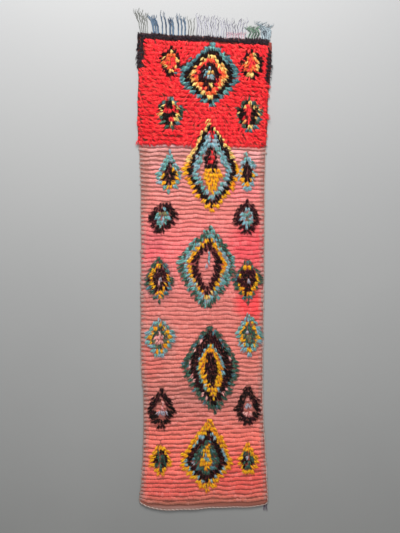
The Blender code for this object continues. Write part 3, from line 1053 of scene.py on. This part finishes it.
@dataclass
class RagRibs:
    """The ribs of thick rag weft between the knotted lozenges, paler to their crests.

    fuller holds where along the rug the ribs are fuller, how far that reaches and by how much,
    and they are thinner past thin_start.
    """

    loom: Loom
    spacing: float = 0.0150
    lobe_length: float = 0.0260
    lobe_width: float = 0.0238
    lobe_height: float = 0.0068
    lobe_middle: float = 0.0040
    lobe_shapes: int = 3
    edge_gap: float = 0.006
    margin: float = 0.034
    wave: float = 0.0024
    stray: float = 0.0015
    slant: float = 0.14
    fuller: tuple[tuple[float, float, float], ...] = ((1.32, 0.34, 0.14), (0.38, 0.12, 0.06))
    thin_start: float = 1.8
    thin: float = 0.91
    groove_tint: Colour = dyed(160, 76, 68)
    crest_tint: Colour = dyed(252, 182, 174)
    edge_tint: Colour = dyed(148, 120, 112)
    fibre_tint: Colour = dyed(138, 64, 58)
    seed: int = 4

    def recipe(self) -> Recipe:
        """The tree that lays an uneven lobe of weft at each point.

        Returns:
            The tree.
        """
        sizes = {
            "Length": self.lobe_length,
            "Width": self.lobe_width,
            "Height": self.lobe_height,
            "Seed": self.seed,
        }
        recipe = Recipe("weft_lobes", sizes)
        lobes = []
        for turn in range(self.lobe_shapes):
            inputs = {"Segments": 8, "Rings": 5, "Radius": 0.5}
            ball = recipe.node("GeometryNodeMeshUVSphere", inputs=inputs, output="Mesh")
            inputs = {"W": 3.7 * turn, "Scale": 2.2, "Detail": 1.0}
            dents = recipe.node("ShaderNodeTexNoise", {"noise_dimensions": "4D"}, inputs, "Color")
            centred = recipe.vectors("SUBTRACT", dents, (0.5, 0.5, 0.5))
            push = recipe.vectors("MULTIPLY", centred, (0.30, 0.34, 0.42))
            lobes.append(recipe.moved(ball, push))
        size = recipe.held("size")
        scale = recipe.vector(
            recipe.given("Length") * recipe.chance(0.80, 1.25, 1),
            recipe.given("Width") * size * recipe.chance(0.88, 1.10, 2),
            recipe.given("Height") * size * recipe.chance(0.85, 1.15, 3),
        )
        roll, pitch = recipe.chance(-0.10, 0.10, 4), recipe.chance(-0.06, 0.06, 5)
        turned = recipe.vector(roll, pitch, recipe.held("turn"))
        recipe.scatter(recipe.points(), lobes, turned, scale, 6)
        return recipe

    def build(self, pattern: Pattern) -> list[bpy.types.Object]:
        """Lays the ribs wherever the pattern leaves them bare, in two halves.

        Args:
            pattern: Says which yarn is where.

        Returns:
            The foot's half and the head's half.
        """
        rng = random.Random(self.seed)
        recipe = self.recipe()
        material = self.finish()
        rows = range(self.loom.flat_rows)
        middle = len(rows) // 2
        halves = []
        for name, half in (("foot_ribs", rows[:middle]), ("head_ribs", rows[middle:])):
            bed = Bed()
            for row in half:
                self._lay_row(row, pattern, rng, bed)
            halves.append(recipe.grow(name, bed, material))
        return halves

    def _lay_row(self, row: int, pattern: Pattern, rng: random.Random, bed: Bed) -> None:
        """Adds one rib's points.

        Args:
            row: The rib's number, from the foot.
            pattern: Says which yarn is where.
            rng: Makes the rib uneven.
            bed: Takes the points.
        """
        along = self.loom.flat_row(row)
        left, right = self.loom.edges(along)
        lot = rng.uniform(0.0, 1.0)
        full = sum(by * math.exp(-(((along - at) / reach) ** 2)) for at, reach, by in self.fuller)
        girth = rng.uniform(0.87, 1.06) * (1 + full) * (self.thin if along > self.thin_start else 1)
        phase = rng.uniform(0, 2 * math.pi)
        across = left + self.edge_gap + rng.uniform(0, self.edge_gap)
        while across < right - self.edge_gap:
            if pattern.yarn_at(across, along, rng) is Dye.RAG:
                edge = max(0.0, 1 - min(across - left, right - across) / self.margin)
                x, y = self.loom.place(across, along)
                y += self.wave * math.sin(phase + across * 50)
                swell = 1 + 0.10 * math.sin(across * 37 + row * 1.9)
                swell += 0.28 * noise.noise((x * 8, y * 13, 0.5))
                bed.add(
                    (x, y + rng.uniform(-self.stray, self.stray), self.lobe_middle),
                    turn=self.loom.tilt(along) + rng.uniform(-self.slant, self.slant),
                    size=girth * swell * (1 - 0.30 * edge),
                    shade=mixed(lot, rng.random(), 0.5),
                    edge=edge,
                )
            across += self.spacing * rng.uniform(0.85, 1.15)

    def finish(self) -> bpy.types.Material:
        """The rag weft's material: bands and patches of dye, browner at the selvedges.

        Returns:
            The material.
        """
        surface = Surface("rag_weft")
        light = surface.attribute("strand") * 0.25 + surface.attribute("shade") * 0.35
        light = (light + surface.noise(14.0, 3.0, (0.5, 2.5, 1)) * 0.6 - 0.1).clamped()
        fibres = surface.noise(420.0, 4.0, (0.35, 1, 1))
        colour = weft_dye(surface, self.loom)
        for share, tint in (
            ((0.50 - light) * 0.9, self.groove_tint),
            ((light - 0.50) * 0.6, self.crest_tint),
            (surface.attribute("edge") * 1.2, self.edge_tint),
            ((fibres - 0.45) * 0.5, self.fibre_tint),
        ):
            colour = surface.blend(share.clamped(), colour, tint)
        fixed = {"Sheen Weight": 0.10, "Specular IOR Level": 0.2}
        return surface.finish(colour, fibres * 0.12 + 0.86, fixed, (fibres, 0.0015, 0.8))


@dataclass
class Pattern:
    """Which yarn each knot or weft lobe of the rug has."""

    loom: Loom
    hang: float = 0.0125
    lean: float = 1.10
    field_lean: float = 0.75
    field_sway: float = 0.35
    head_border: float = 0.030
    left_border: float = 0.040
    right_border: float = 0.038
    left_border_end: float = 2.63
    right_border_end: float = 2.57
    cream_start: float = 2.06
    cream_end: float = 2.36

    def yarn_at(self, across: float, along: float, rng: random.Random) -> Dye:
        """The yarn at a place on the rug.

        Args:
            across: The place across, in metres.
            along: The place along, in metres.
            rng: Picks between two yarns where they're mixed.

        Returns:
            The yarn, which is RAG where there is a rib instead of knots.
        """
        if self._in_border(across, along, rng):
            return Dye.BORDER
        found = Dye.RED if along > self.loom.pile_start else Dye.RAG
        rise = self.loom.rise(across, along) - self.hang
        for lozenge in LOZENGES:
            found = lozenge.dye_at(across, rise, rng) or found
        top_of_medallion = found is Dye.GOLDEN and self.cream_start < rise < self.cream_end
        return Dye.CREAM if top_of_medallion else found

    def lean_at(self, across: float, along: float) -> float:
        """How far a knot's tuft leans sideways: out from its lozenge's middle, or to the right.

        Args:
            across: The place across, in metres.
            along: The place along, in metres.

        Returns:
            The angle, in radians, which is more than 0 to the right.
        """
        rise = (self.loom.rise(across, along) - self.hang) * MM
        for lozenge in LOZENGES:
            side = (across * MM - lozenge.across) / lozenge.half
            inside = -lozenge.down < rise - lozenge.along < lozenge.up
            if inside and abs(side) < 1 and len(lozenge.rings) > 1:
                height = max(0.0, (rise - lozenge.along) / lozenge.up)
                return self.lean * math.copysign(abs(side) ** 0.5, side) * (1 - 0.5 * height)
        return self.field_lean + self.field_sway * math.sin(across * 9 + along * 7)

    def _in_border(self, across: float, along: float, rng: random.Random) -> bool:
        """Whether a place is in the dark border, at the head or down one side from it.

        Args:
            across: The place across, in metres.
            along: The place along, in metres.
            rng: Makes the border's inner edge ragged.

        Returns:
            True in the border.
        """
        if along < self.loom.pile_start:
            return False
        left, right = self.loom.edges(along)
        ragged = rng.uniform(-0.010, 0.007)
        left_share = min(1.0, 0.55 + (along - self.left_border_end) / 0.2)
        right_share = min(1.0, 0.75 + (along - self.right_border_end) / 0.4)
        on_left = across < left + self.left_border * left_share + ragged
        on_left = on_left and along > self.left_border_end
        on_right = across > right - self.right_border * right_share + ragged
        on_right = on_right and along > self.right_border_end
        return on_left or on_right or along > self.loom.head - self.head_border


@dataclass(frozen=True)
class Droop:
    """How a strand falls, as shares of its length: its bow aside and its reach.

    crest and drop are how high its middle and its end lie, as shares of the tuft's rise.
    """

    bow: float
    crest: float
    reach: float
    drop: float


@dataclass(frozen=True)
class Knot:
    """A knot's yarn, its place, its lean to the right and the rug's side edges beside it."""

    dye: Dye
    across: float
    along: float
    lean: float
    left: float
    right: float


@dataclass
class KnottedPile:
    """All knots: the deep pile at the head and the lozenges, one piece for each yarn.

    The sizes whose names start with flat are for the lozenges among the ribs. depth is how far
    a tuft's roots spread along the rug, and the reaches are how far the side edges bend tufts.
    """

    loom: Loom
    knot_spacing: float = 0.0115
    strands: int = 7
    strand_length: float = 0.036
    strand_width: float = 0.0052
    strand_taper: float = 0.35
    rise: float = 0.015
    spread: float = 0.005
    root_height: float = 0.0026
    edge_gap: float = 0.004
    margin: float = 0.016
    flat_margin: float = 0.003
    flat_size: float = 0.74
    head_size: float = 0.72
    depth: float = 0.003
    flat_depth: float = 0.0075
    sway: float = 0.28
    flat_sway: float = 0.17
    stray: float = 0.003
    lock_shift: float = -0.007
    left_reach: float = 0.020
    right_reach: float = 0.034
    droops: tuple[Droop, ...] = (
        Droop(0.16, 1.95, 0.86, 0.30),
        Droop(-0.18, 1.70, 0.92, 0.52),
        Droop(0.05, 2.15, 0.70, 0.66),
        Droop(-0.08, 1.60, 0.98, 0.20),
    )
    seed: int = 8

    def recipe(self) -> Recipe:
        """The tree that grows a tuft of drooping strands on each knot.

        Returns:
            The tree.
        """
        sizes = {
            "Length": self.strand_length,
            "Width": self.strand_width,
            "Taper": self.strand_taper,
            "Rise": self.rise,
            "Spread": self.spread,
            "Strands": self.strands,
            "Seed": self.seed,
        }
        recipe = Recipe("tufts", sizes)
        length, rise, taper = (recipe.given(label) for label in ("Length", "Rise", "Taper"))
        shapes = []
        for droop in self.droops:
            middle = recipe.vector(length * droop.bow, length * -0.22, rise * droop.crest)
            end = recipe.vector(length * (droop.bow / 2), length * -droop.reach, rise * droop.drop)
            inputs = {"Resolution": 4, "Start": (0.0, 0.0, 0.0), "Middle": middle, "End": end}
            curve = recipe.node("GeometryNodeCurveQuadraticBezier", inputs=inputs)
            shapes.append(recipe.tube(curve, recipe.given("Width") * 0.5, 3, taper))
        inputs = {"Geometry": recipe.points(), "Amount": recipe.given("Strands")}
        copies = recipe.node("GeometryNodeDuplicateElements", {"domain": "POINT"}, inputs)
        sideways = recipe.given("Spread") * recipe.chance(-1.0, 1.0, 1)
        upwards = recipe.held("depth") * recipe.chance(-1.0, 1.0, 2)
        placed = recipe.moved(copies, recipe.vector(sideways, upwards, 0.0))
        turned = recipe.vector(
            recipe.chance(-0.12, 0.12, 3),
            recipe.chance(-0.25, 0.25, 4),
            recipe.held("turn") + recipe.chance(-0.22, 0.22, 5),
        )
        size = recipe.held("size")
        long, tall = size * recipe.chance(0.84, 1.12, 6), size * recipe.chance(0.82, 1.16, 7)
        recipe.scatter(placed, shapes, turned, recipe.vector(1.0, long, tall), 8)
        return recipe

    def build(self, pattern: Pattern) -> list[bpy.types.Object]:
        """Ties every knot and grows its tuft, in one piece for each yarn.

        Args:
            pattern: Says which yarn is where.

        Returns:
            The pieces.
        """
        loom = self.loom
        rng = random.Random(self.seed)
        beds: dict[str, Bed] = {}
        dyes: dict[str, Dye] = {}
        rows = [loom.flat_row(row) for row in range(loom.flat_rows)]
        rows += [loom.pile_row(row) for row in range(loom.pile_rows)]
        for along in rows:
            left, right = loom.edges(along)
            across = left + self.edge_gap + rng.uniform(0, self.edge_gap)
            margin = self.margin if along > loom.pile_start else self.flat_margin
            while across < right - margin:
                dye = pattern.yarn_at(across, along, rng)
                if dye is not Dye.RAG:
                    half = ("_left" if across < 0 else "_right") if dye is Dye.RED else ""
                    name = f"{dye.value}_pile{half}"
                    dyes[name] = dye
                    knot = Knot(dye, across, along, pattern.lean_at(across, along), left, right)
                    self._tie(knot, rng, beds.setdefault(name, Bed()))
                across += self.knot_spacing * rng.uniform(0.88, 1.12)
        recipe = self.recipe()
        materials = {dye: YARNS[dye].material(f"{dye.value}_yarn") for dye in YARNS}
        pieces = []
        for name in sorted(beds):
            piece = recipe.grow(name, beds[name], materials[dyes[name]])
            pieces.append(piece)
        return pieces

    def _tie(self, knot: Knot, rng: random.Random, bed: Bed) -> None:
        """Adds a knot: its point, the way it falls, its size and its shade.

        The last row has a second tuft, a lock of the border that stands out past the head.

        Args:
            knot: The knot.
            rng: Makes it uneven.
            bed: The piece's points.
        """
        loom = self.loom
        deep = knot.along > loom.pile_start
        x, y = loom.place(knot.across, knot.along)
        size = rng.uniform(0.88, 1.10)
        if not deep:
            size *= self.flat_size
        elif knot.along < loom.pile_start + loom.pile_pitch:
            size *= 1 - 0.45 * max(0.0, knot.across / 0.35)
        turn = knot.lean + rng.gauss(0, self.sway if deep else self.flat_sway)
        shift = rng.uniform(-self.stray, self.stray)
        if deep:
            near_left = max(0.0, 1 - (knot.across - knot.left) / self.left_reach)
            near_right = max(0.0, 1 - (knot.right - knot.across) / self.right_reach)
            if knot.dye is Dye.BORDER and knot.along < loom.head - 2 * loom.pile_pitch:
                turn = rng.uniform(0.5, 1.3) if knot.across > 0 else rng.uniform(-0.7, 0.3)
                size *= 0.9
            else:
                turn = mixed(turn, 0.1, 0.9 * near_right) - rng.uniform(0.1, 1.1) * near_left
            size *= 1 - 0.2 * max(near_left, near_right)
        falls = [(turn, size, shift)]
        if knot.along > loom.head - loom.pile_pitch:
            lock = (math.pi + rng.gauss(0, 0.3), rng.uniform(0.56, 0.84), self.lock_shift)
            falls = [(turn, self.head_size, shift), lock]
        depth = self.depth if deep else self.flat_depth
        for turn, size, shift in falls:
            place = (x, y + shift, self.root_height)
            bed.add(place, turn=turn, size=size, depth=depth, shade=rng.random())


@dataclass(frozen=True)
class Bunch:
    """Fringe strands that leave one stretch of the head edge in the same manner, as in the part."""

    start: float
    end: float
    count: int
    length: float
    width: float
    lean_start: float
    lean_end: float
    sway: float
    yarn: str
    plies: int
    radius: float
    crimp: float = 0.0022


BUNCHES: tuple[Bunch, ...] = (
    Bunch(-0.373, -0.330, 5, 0.124, 0.0042, -0.24, -0.03, 0.005, "grey_fringe", 10, 0.0011, 0.004),
    Bunch(-0.293, -0.266, 3, 0.114, 0.0100, -0.22, -0.16, 0.008, "blue_fringe", 7, 0.0023),
    Bunch(-0.240, -0.218, 2, 0.116, 0.0075, -0.08, -0.06, 0.006, "blue_fringe", 4, 0.0020),
    Bunch(-0.194, -0.176, 2, 0.119, 0.0120, -0.05, -0.04, 0.006, "blue_fringe", 7, 0.0022),
    Bunch(-0.145, -0.105, 3, 0.118, 0.0080, -0.05, 0.00, 0.005, "blue_fringe", 4, 0.0021),
    Bunch(-0.084, -0.058, 3, 0.096, 0.0040, 0.00, 0.16, 0.007, "grey_fringe", 3, 0.0013),
    Bunch(-0.034, 0.096, 11, 0.116, 0.0046, 0.02, -0.03, 0.010, "pale_fringe", 3, 0.0012, 0.004),
    Bunch(0.112, 0.256, 11, 0.108, 0.0046, -0.02, 0.05, 0.010, "pale_fringe", 3, 0.0012, 0.004),
    Bunch(0.276, 0.328, 4, 0.062, 0.0085, 0.14, 0.34, 0.026, "green_fringe", 14, 0.0015, 0.003),
    Bunch(0.356, 0.400, 5, 0.084, 0.0100, -0.16, 0.18, 0.016, "slate_fringe", 13, 0.0014, 0.008),
    Bunch(0.150, 0.246, 7, 0.026, 0.0090, -0.10, 0.20, 0.006, "rosy_fringe", 4, 0.0010, 0.006),
)

FRINGE_YARNS: dict[str, YarnFinish] = {
    "grey_fringe": YarnFinish(dyed(84, 84, 80), dyed(136, 138, 132), 0.4, root=0.8, slot="pale_warp"),
    "blue_fringe": YarnFinish(dyed(84, 104, 124), dyed(50, 62, 82), 0.35, root=0.8, slot="blue_warp"),
    "pale_fringe": YarnFinish(dyed(176, 174, 186), dyed(96, 92, 108), 0.45, root=0.9, slot="pale_warp"),
    "rosy_fringe": YarnFinish(dyed(214, 178, 184), dyed(196, 150, 160), 0.4, root=0.9, slot="pink_yarn"),
    "green_fringe": YarnFinish(dyed(70, 88, 76), dyed(120, 144, 124), 0.35, root=0.7, slot="head_fringe"),
    "slate_fringe": YarnFinish(dyed(160, 174, 180), dyed(58, 64, 72), 0.4, root=0.8, slot="head_fringe"),
    "foot_threads": YarnFinish(dyed(98, 84, 100), dyed(62, 54, 66), 0.4, root=0.8, slot="foot_threads"),
}


@dataclass(frozen=True)
class Strand:
    """A fringe strand's root on the floor and its own sizes, as in the part."""

    root: tuple[float, float]
    lean: float
    length: float
    width: float
    turn: float


@dataclass
class YarnRuns:
    """Loose yarns that lie along a line, as thin tubes."""

    loom: Loom
    steps: int = 16
    sides: int = 5
    taper: float = 0.45
    seed: int = 5

    def spin(self, name: str, bed: Bed, finish: YarnFinish, yarn: str) -> bpy.types.Object:
        """Thickens a bed's runs into yarns.

        Args:
            name: The piece's name.
            bed: The runs, whose points hold their girth, shade and strand.
            finish: How the yarn looks.
            yarn: The material's name.

        Returns:
            The piece.
        """
        recipe = Recipe("yarn_runs", {"Taper": self.taper})
        curves = recipe.node("GeometryNodeMeshToCurve", inputs={"Mesh": recipe.given("Geometry")})
        girth, taper = recipe.held("girth"), recipe.given("Taper")
        recipe.close(recipe.tube(curves, girth, self.sides, taper))
        piece = recipe.grow(name, bed, finish.material(yarn))
        return piece


@dataclass
class HeadFringe(YarnRuns):
    """The warp ends past the head edge, each a few yarns twisted loosely together.

    lock and strip are how deep the part's locks and its strip of fused roots are, tuck is how
    far the yarns reach back over them, and a bunch with a crimp of frizz or more is uneven.
    """

    lock: float = 0.0090
    strip: float = 0.0065
    tuck: float = 0.014
    tuck_height: float = 0.004
    frizz: float = 0.005

    def build(self) -> list[bpy.types.Object]:
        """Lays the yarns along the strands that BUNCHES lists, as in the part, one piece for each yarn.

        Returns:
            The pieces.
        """
        rng = random.Random(self.seed)
        loose = random.Random(self.seed + 1)
        beds: dict[str, Bed] = {}
        for bunch in BUNCHES:
            bed = beds.setdefault(bunch.yarn, Bed())
            for k in range(bunch.count):
                share = k / (bunch.count - 1)
                x, y = self.loom.place(mixed(bunch.start, bunch.end, share), self.loom.head)
                lean = mixed(bunch.lean_start, bunch.lean_end, share) + rng.uniform(-0.012, 0.012)
                length = bunch.length * rng.uniform(0.80, 1.08)
                width = bunch.width * rng.uniform(0.85, 1.15)
                turn = k * 0.35 + rng.uniform(-0.2, 0.2)
                strand = Strand((x, y + self.lock + self.strip), lean, length, width, turn)
                for ply in range(bunch.plies):
                    self._lay_ply(bunch, strand, ply / bunch.plies, loose, bed)
        return [self.spin(name, beds[name], FRINGE_YARNS[name], name) for name in sorted(beds)]

    def _lay_ply(
        self, bunch: Bunch, strand: Strand, share: float, rng: random.Random, bed: Bed
    ) -> None:
        """Adds one yarn of a strand.

        Args:
            bunch: The strand's bunch.
            strand: The strand.
            share: The yarn's place round the strand, from 0 to 1.
            rng: Makes the yarn uneven.
            bed: The piece's runs.
        """
        length, width, turn = strand.length, strand.width, strand.turn
        radius = bunch.radius * rng.uniform(0.8, 1.15)
        half = max(width / 2 - radius, radius)
        frizzy = bunch.crimp >= self.frizz
        own = length * (rng.uniform(0.55, 1.10) if frizzy else rng.uniform(0.74, 1.06))
        stray = rng.uniform(-1, 1) * (width * 0.45 + bunch.crimp * 1.8)
        crimp = bunch.crimp * rng.uniform(0.3, 1.5)
        twist = rng.uniform(5.0, 8.0)
        lot = rng.random()
        for step in range(self.steps + 1):
            along = own * step / self.steps - self.tuck * (1 - step / self.steps)
            far = max(0.0, along / length)
            bend = bunch.sway * math.sin(turn + 5.0 * far) * far
            bend += crimp * math.sin(turn * 3 + 19.0 * far) * far
            angle = 2 * math.pi * share + twist * far
            side = half * math.cos(angle) * (1 + 0.7 * far) + stray * far**2
            x = strand.root[0] + strand.lean * length * far + bend + side
            height = max(radius, radius + half * (0.5 + 0.5 * math.sin(angle)))
            height += self.tuck_height * max(0.0, -along / self.tuck)
            bed.add((x, strand.root[1] + along, height), girth=radius, shade=lot, strand=lot)
        bed.tie(self.steps + 1)


@dataclass
class FootThreads(YarnRuns):
    """The few loose warp ends at the foot's right corner."""

    start: float = 0.3679
    end: float = 0.3811
    count: int = 3
    plies: int = 3
    length: float = 0.044
    width: float = 0.0040
    ply_radius: float = 0.0013
    tuck: float = 0.006
    lean_start: float = -0.03
    lean_end: float = 0.13
    wave: float = 0.0012

    def build(self) -> bpy.types.Object:
        """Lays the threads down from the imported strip.

        Returns:
            The piece.
        """
        rng = random.Random(self.seed)
        bed = Bed()
        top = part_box("foot_threads")[1][1] + self.tuck
        for k in range(self.count * self.plies):
            thread = k % self.count
            share = thread / (self.count - 1)
            root_x = self.loom.foot_x + mixed(self.start, self.end, share)
            lean = mixed(self.lean_start, self.lean_end, share) + rng.uniform(-0.04, 0.04)
            own = self.length * rng.uniform(0.8, 1.0)
            side = rng.uniform(-0.5, 0.5) * self.width
            lot = rng.random()
            for step in range(self.steps + 1):
                far = step / self.steps
                x = root_x + side + lean * own * far + self.wave * math.sin(4 * far + k)
                height = self.ply_radius * (1 + 1.2 * thread * (1 - far))
                bed.add((x, top - own * far, height), girth=self.ply_radius, shade=lot, strand=lot)
            bed.tie(self.steps + 1)
        finish = FRINGE_YARNS["foot_threads"]
        return self.spin("loose_foot_threads", bed, finish, "foot_threads_yarn")


@dataclass
class Selvedges(YarnRuns):
    """The two-ply cords along both sides of the ribbed field and along the hem's fold."""

    radius: float = 0.0024
    hem_radius: float = 0.0032
    hem_fold: float = 0.001
    station: float = 0.006
    twist: float = 260.0
    finish: YarnFinish = YarnFinish(
        dyed(144, 118, 108), dyed(178, 158, 150), 0.35, root=1.0, slot="ground_weave"
    )

    def build(self) -> bpy.types.Object:
        """Twists the cords along the edges.

        Returns:
            The piece.
        """
        rng = random.Random(self.seed)
        bed = Bed()
        loom = self.loom
        count = round(loom.pile_start / self.station)
        stations = [loom.pile_start * k / count for k in range(count + 1)]
        for side in (0, 1):
            line = [(loom.edges(along)[side], along) for along in stations]
            self._twist_line(line, self.radius, rng, bed)
        left, right = loom.edges(0.0)
        count = round((right - left) / self.station)
        line = [(mixed(left, right, k / count), self.hem_fold) for k in range(count + 1)]
        self._twist_line(line, self.hem_radius, rng, bed)
        return self.spin("selvedge_cords", bed, self.finish, "selvedge_yarn")

    def _twist_line(
        self, line: list[tuple[float, float]], radius: float, rng: random.Random, bed: Bed
    ) -> None:
        """Adds the two plies of a cord along a line.

        Args:
            line: The cord's places across and along.
            radius: Each ply's radius.
            rng: Makes the plies uneven.
            bed: Takes the plies.
        """
        for ply in (0.0, math.pi):
            lot = rng.random()
            for k, (across, along) in enumerate(line):
                angle = ply + self.twist * self.station * k
                x, y = self.loom.place(across, along)
                shift = radius * 0.6 * math.cos(angle)
                place = (x + shift, y + shift, radius * (1.7 + 0.6 * math.sin(angle)))
                bed.add(place, girth=radius * rng.uniform(0.85, 1.15), shade=lot, strand=lot)
            bed.tie(len(line))


@dataclass(frozen=True)
class Lamp:
    """A square soft lamp that points at the rug's middle, in metres and watts."""

    name: str
    place: Point
    power: float
    size: float


@dataclass
class Studio:
    """The pale floor with its painted light, the soft lights and the camera, straight above the rug."""

    view_across: float = -0.024
    view_along: float = -0.035
    view_height: float = 3.198
    camera_height: float = 8.0
    sensor: float = 36.0
    floor_half: float = 40.0
    floor_depth: float = 0.0005
    painted_light_length: float = 3.2
    lamps: tuple[Lamp, ...] = (
        Lamp("window", (-0.6, 4.6, 3.0), 420.0, 2.2),
        Lamp("ceiling", (0.4, 0.0, 4.5), 88.0, 3.5),
    )
    fill: Colour = (0.92, 0.95, 1.0)
    fill_strength: float = 0.36

    def build(self) -> None:
        """Sets up the floor, the lights and the camera."""
        self._floor()
        self._lights()
        self._camera()

    def _floor(self) -> None:
        """A pale floor, a little uneven in tone, with painted light that makes it lighter towards the
        window.
        """
        half = self.floor_half
        ends = ((-half, -half), (half, -half), (half, half), (-half, half))
        mesh = bpy.data.meshes.new("floor")
        mesh.from_pydata([(x, y, -self.floor_depth) for x, y in ends], [], [(0, 1, 2, 3)])
        surface = Surface("floor")
        # Painted light: the floor's colour runs from darker at the foot end to lighter towards the
        # window.
        near = (surface.axis(surface.here(), "Y") / self.painted_light_length + 0.5).clamped()
        pale = surface.blend(near, dyed(124, 124, 122), dyed(163, 163, 163))
        colour = surface.blend(surface.noise(0.8, 5.0) * 0.25, pale, dyed(178, 177, 173))
        mesh.materials.append(surface.finish(colour, 0.95, {"Specular IOR Level": 0.1}))
        linked("floor", mesh)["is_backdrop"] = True

    def _lights(self) -> None:
        """A large soft light from past the head end, one above and a fill from all round."""
        for lamp in self.lamps:
            data = bpy.data.lights.new(lamp.name, "AREA")
            data.energy = lamp.power
            data.size = lamp.size
            hung = linked(lamp.name, data)
            hung.location = lamp.place
            hung.rotation_euler = (-Vector(lamp.place)).to_track_quat("-Z", "Y").to_euler()
        world = bpy.data.worlds.new("room")
        world.use_nodes = True
        ambient = world.node_tree.nodes["Background"]
        ambient.inputs["Color"].default_value = (*self.fill, 1.0)
        ambient.inputs["Strength"].default_value = self.fill_strength
        bpy.context.scene.world = world
        bpy.context.scene.view_settings.view_transform = "Standard"

    def _camera(self) -> None:
        """A long lens straight above, which sees the rug as the photograph does."""
        data = bpy.data.cameras.new("camera")
        data.sensor_width = self.sensor
        data.lens = self.sensor * self.camera_height / self.view_height
        camera = linked("camera", data)
        camera.location = (self.view_across, self.view_along, self.camera_height)
        bpy.context.scene.camera = camera


def corners() -> list[list[float]]:
    """The shown object's lowest and highest corner, as plain lists."""
    return [list(corner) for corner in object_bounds()]


def report(piece: bpy.types.Object) -> None:
    """Lets a piece ride on the rug and logs its size.

    Args:
        piece: The finished piece.
    """
    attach(piece, BODY)
    piece.data.calc_loop_triangles()
    LOG.info("%s: %d triangles", piece.name, len(piece.data.loop_triangles))


def main() -> None:
    """Builds and dresses the rug, piece by piece."""
    logging.basicConfig(level=logging.INFO, format="%(name)s: %(message)s")
    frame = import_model()
    Studio().build()
    loom = Loom()
    loom.read_edges(frame["nodes"]["rug_cloth"])
    pattern = Pattern(loom)

    weave = GroundWeave(loom)
    ground = weave.build()
    weave.dress(ground)

    ribs = RagRibs(loom).build(pattern)
    pile = KnottedPile(loom).build(pattern)
    fringe = HeadFringe(loom).build()
    threads = FootThreads(loom).build()
    cords = Selvedges(loom).build()

    attached = [*ribs, *pile, cords, *fringe, threads]
    for piece in [ground, *attached]:
        report(piece)
    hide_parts("rug_cloth")
    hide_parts("head_fringe")
    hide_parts("foot_threads")
    left, right = loom.edges(loom.head / 2)


if __name__ == "__main__":
    main()
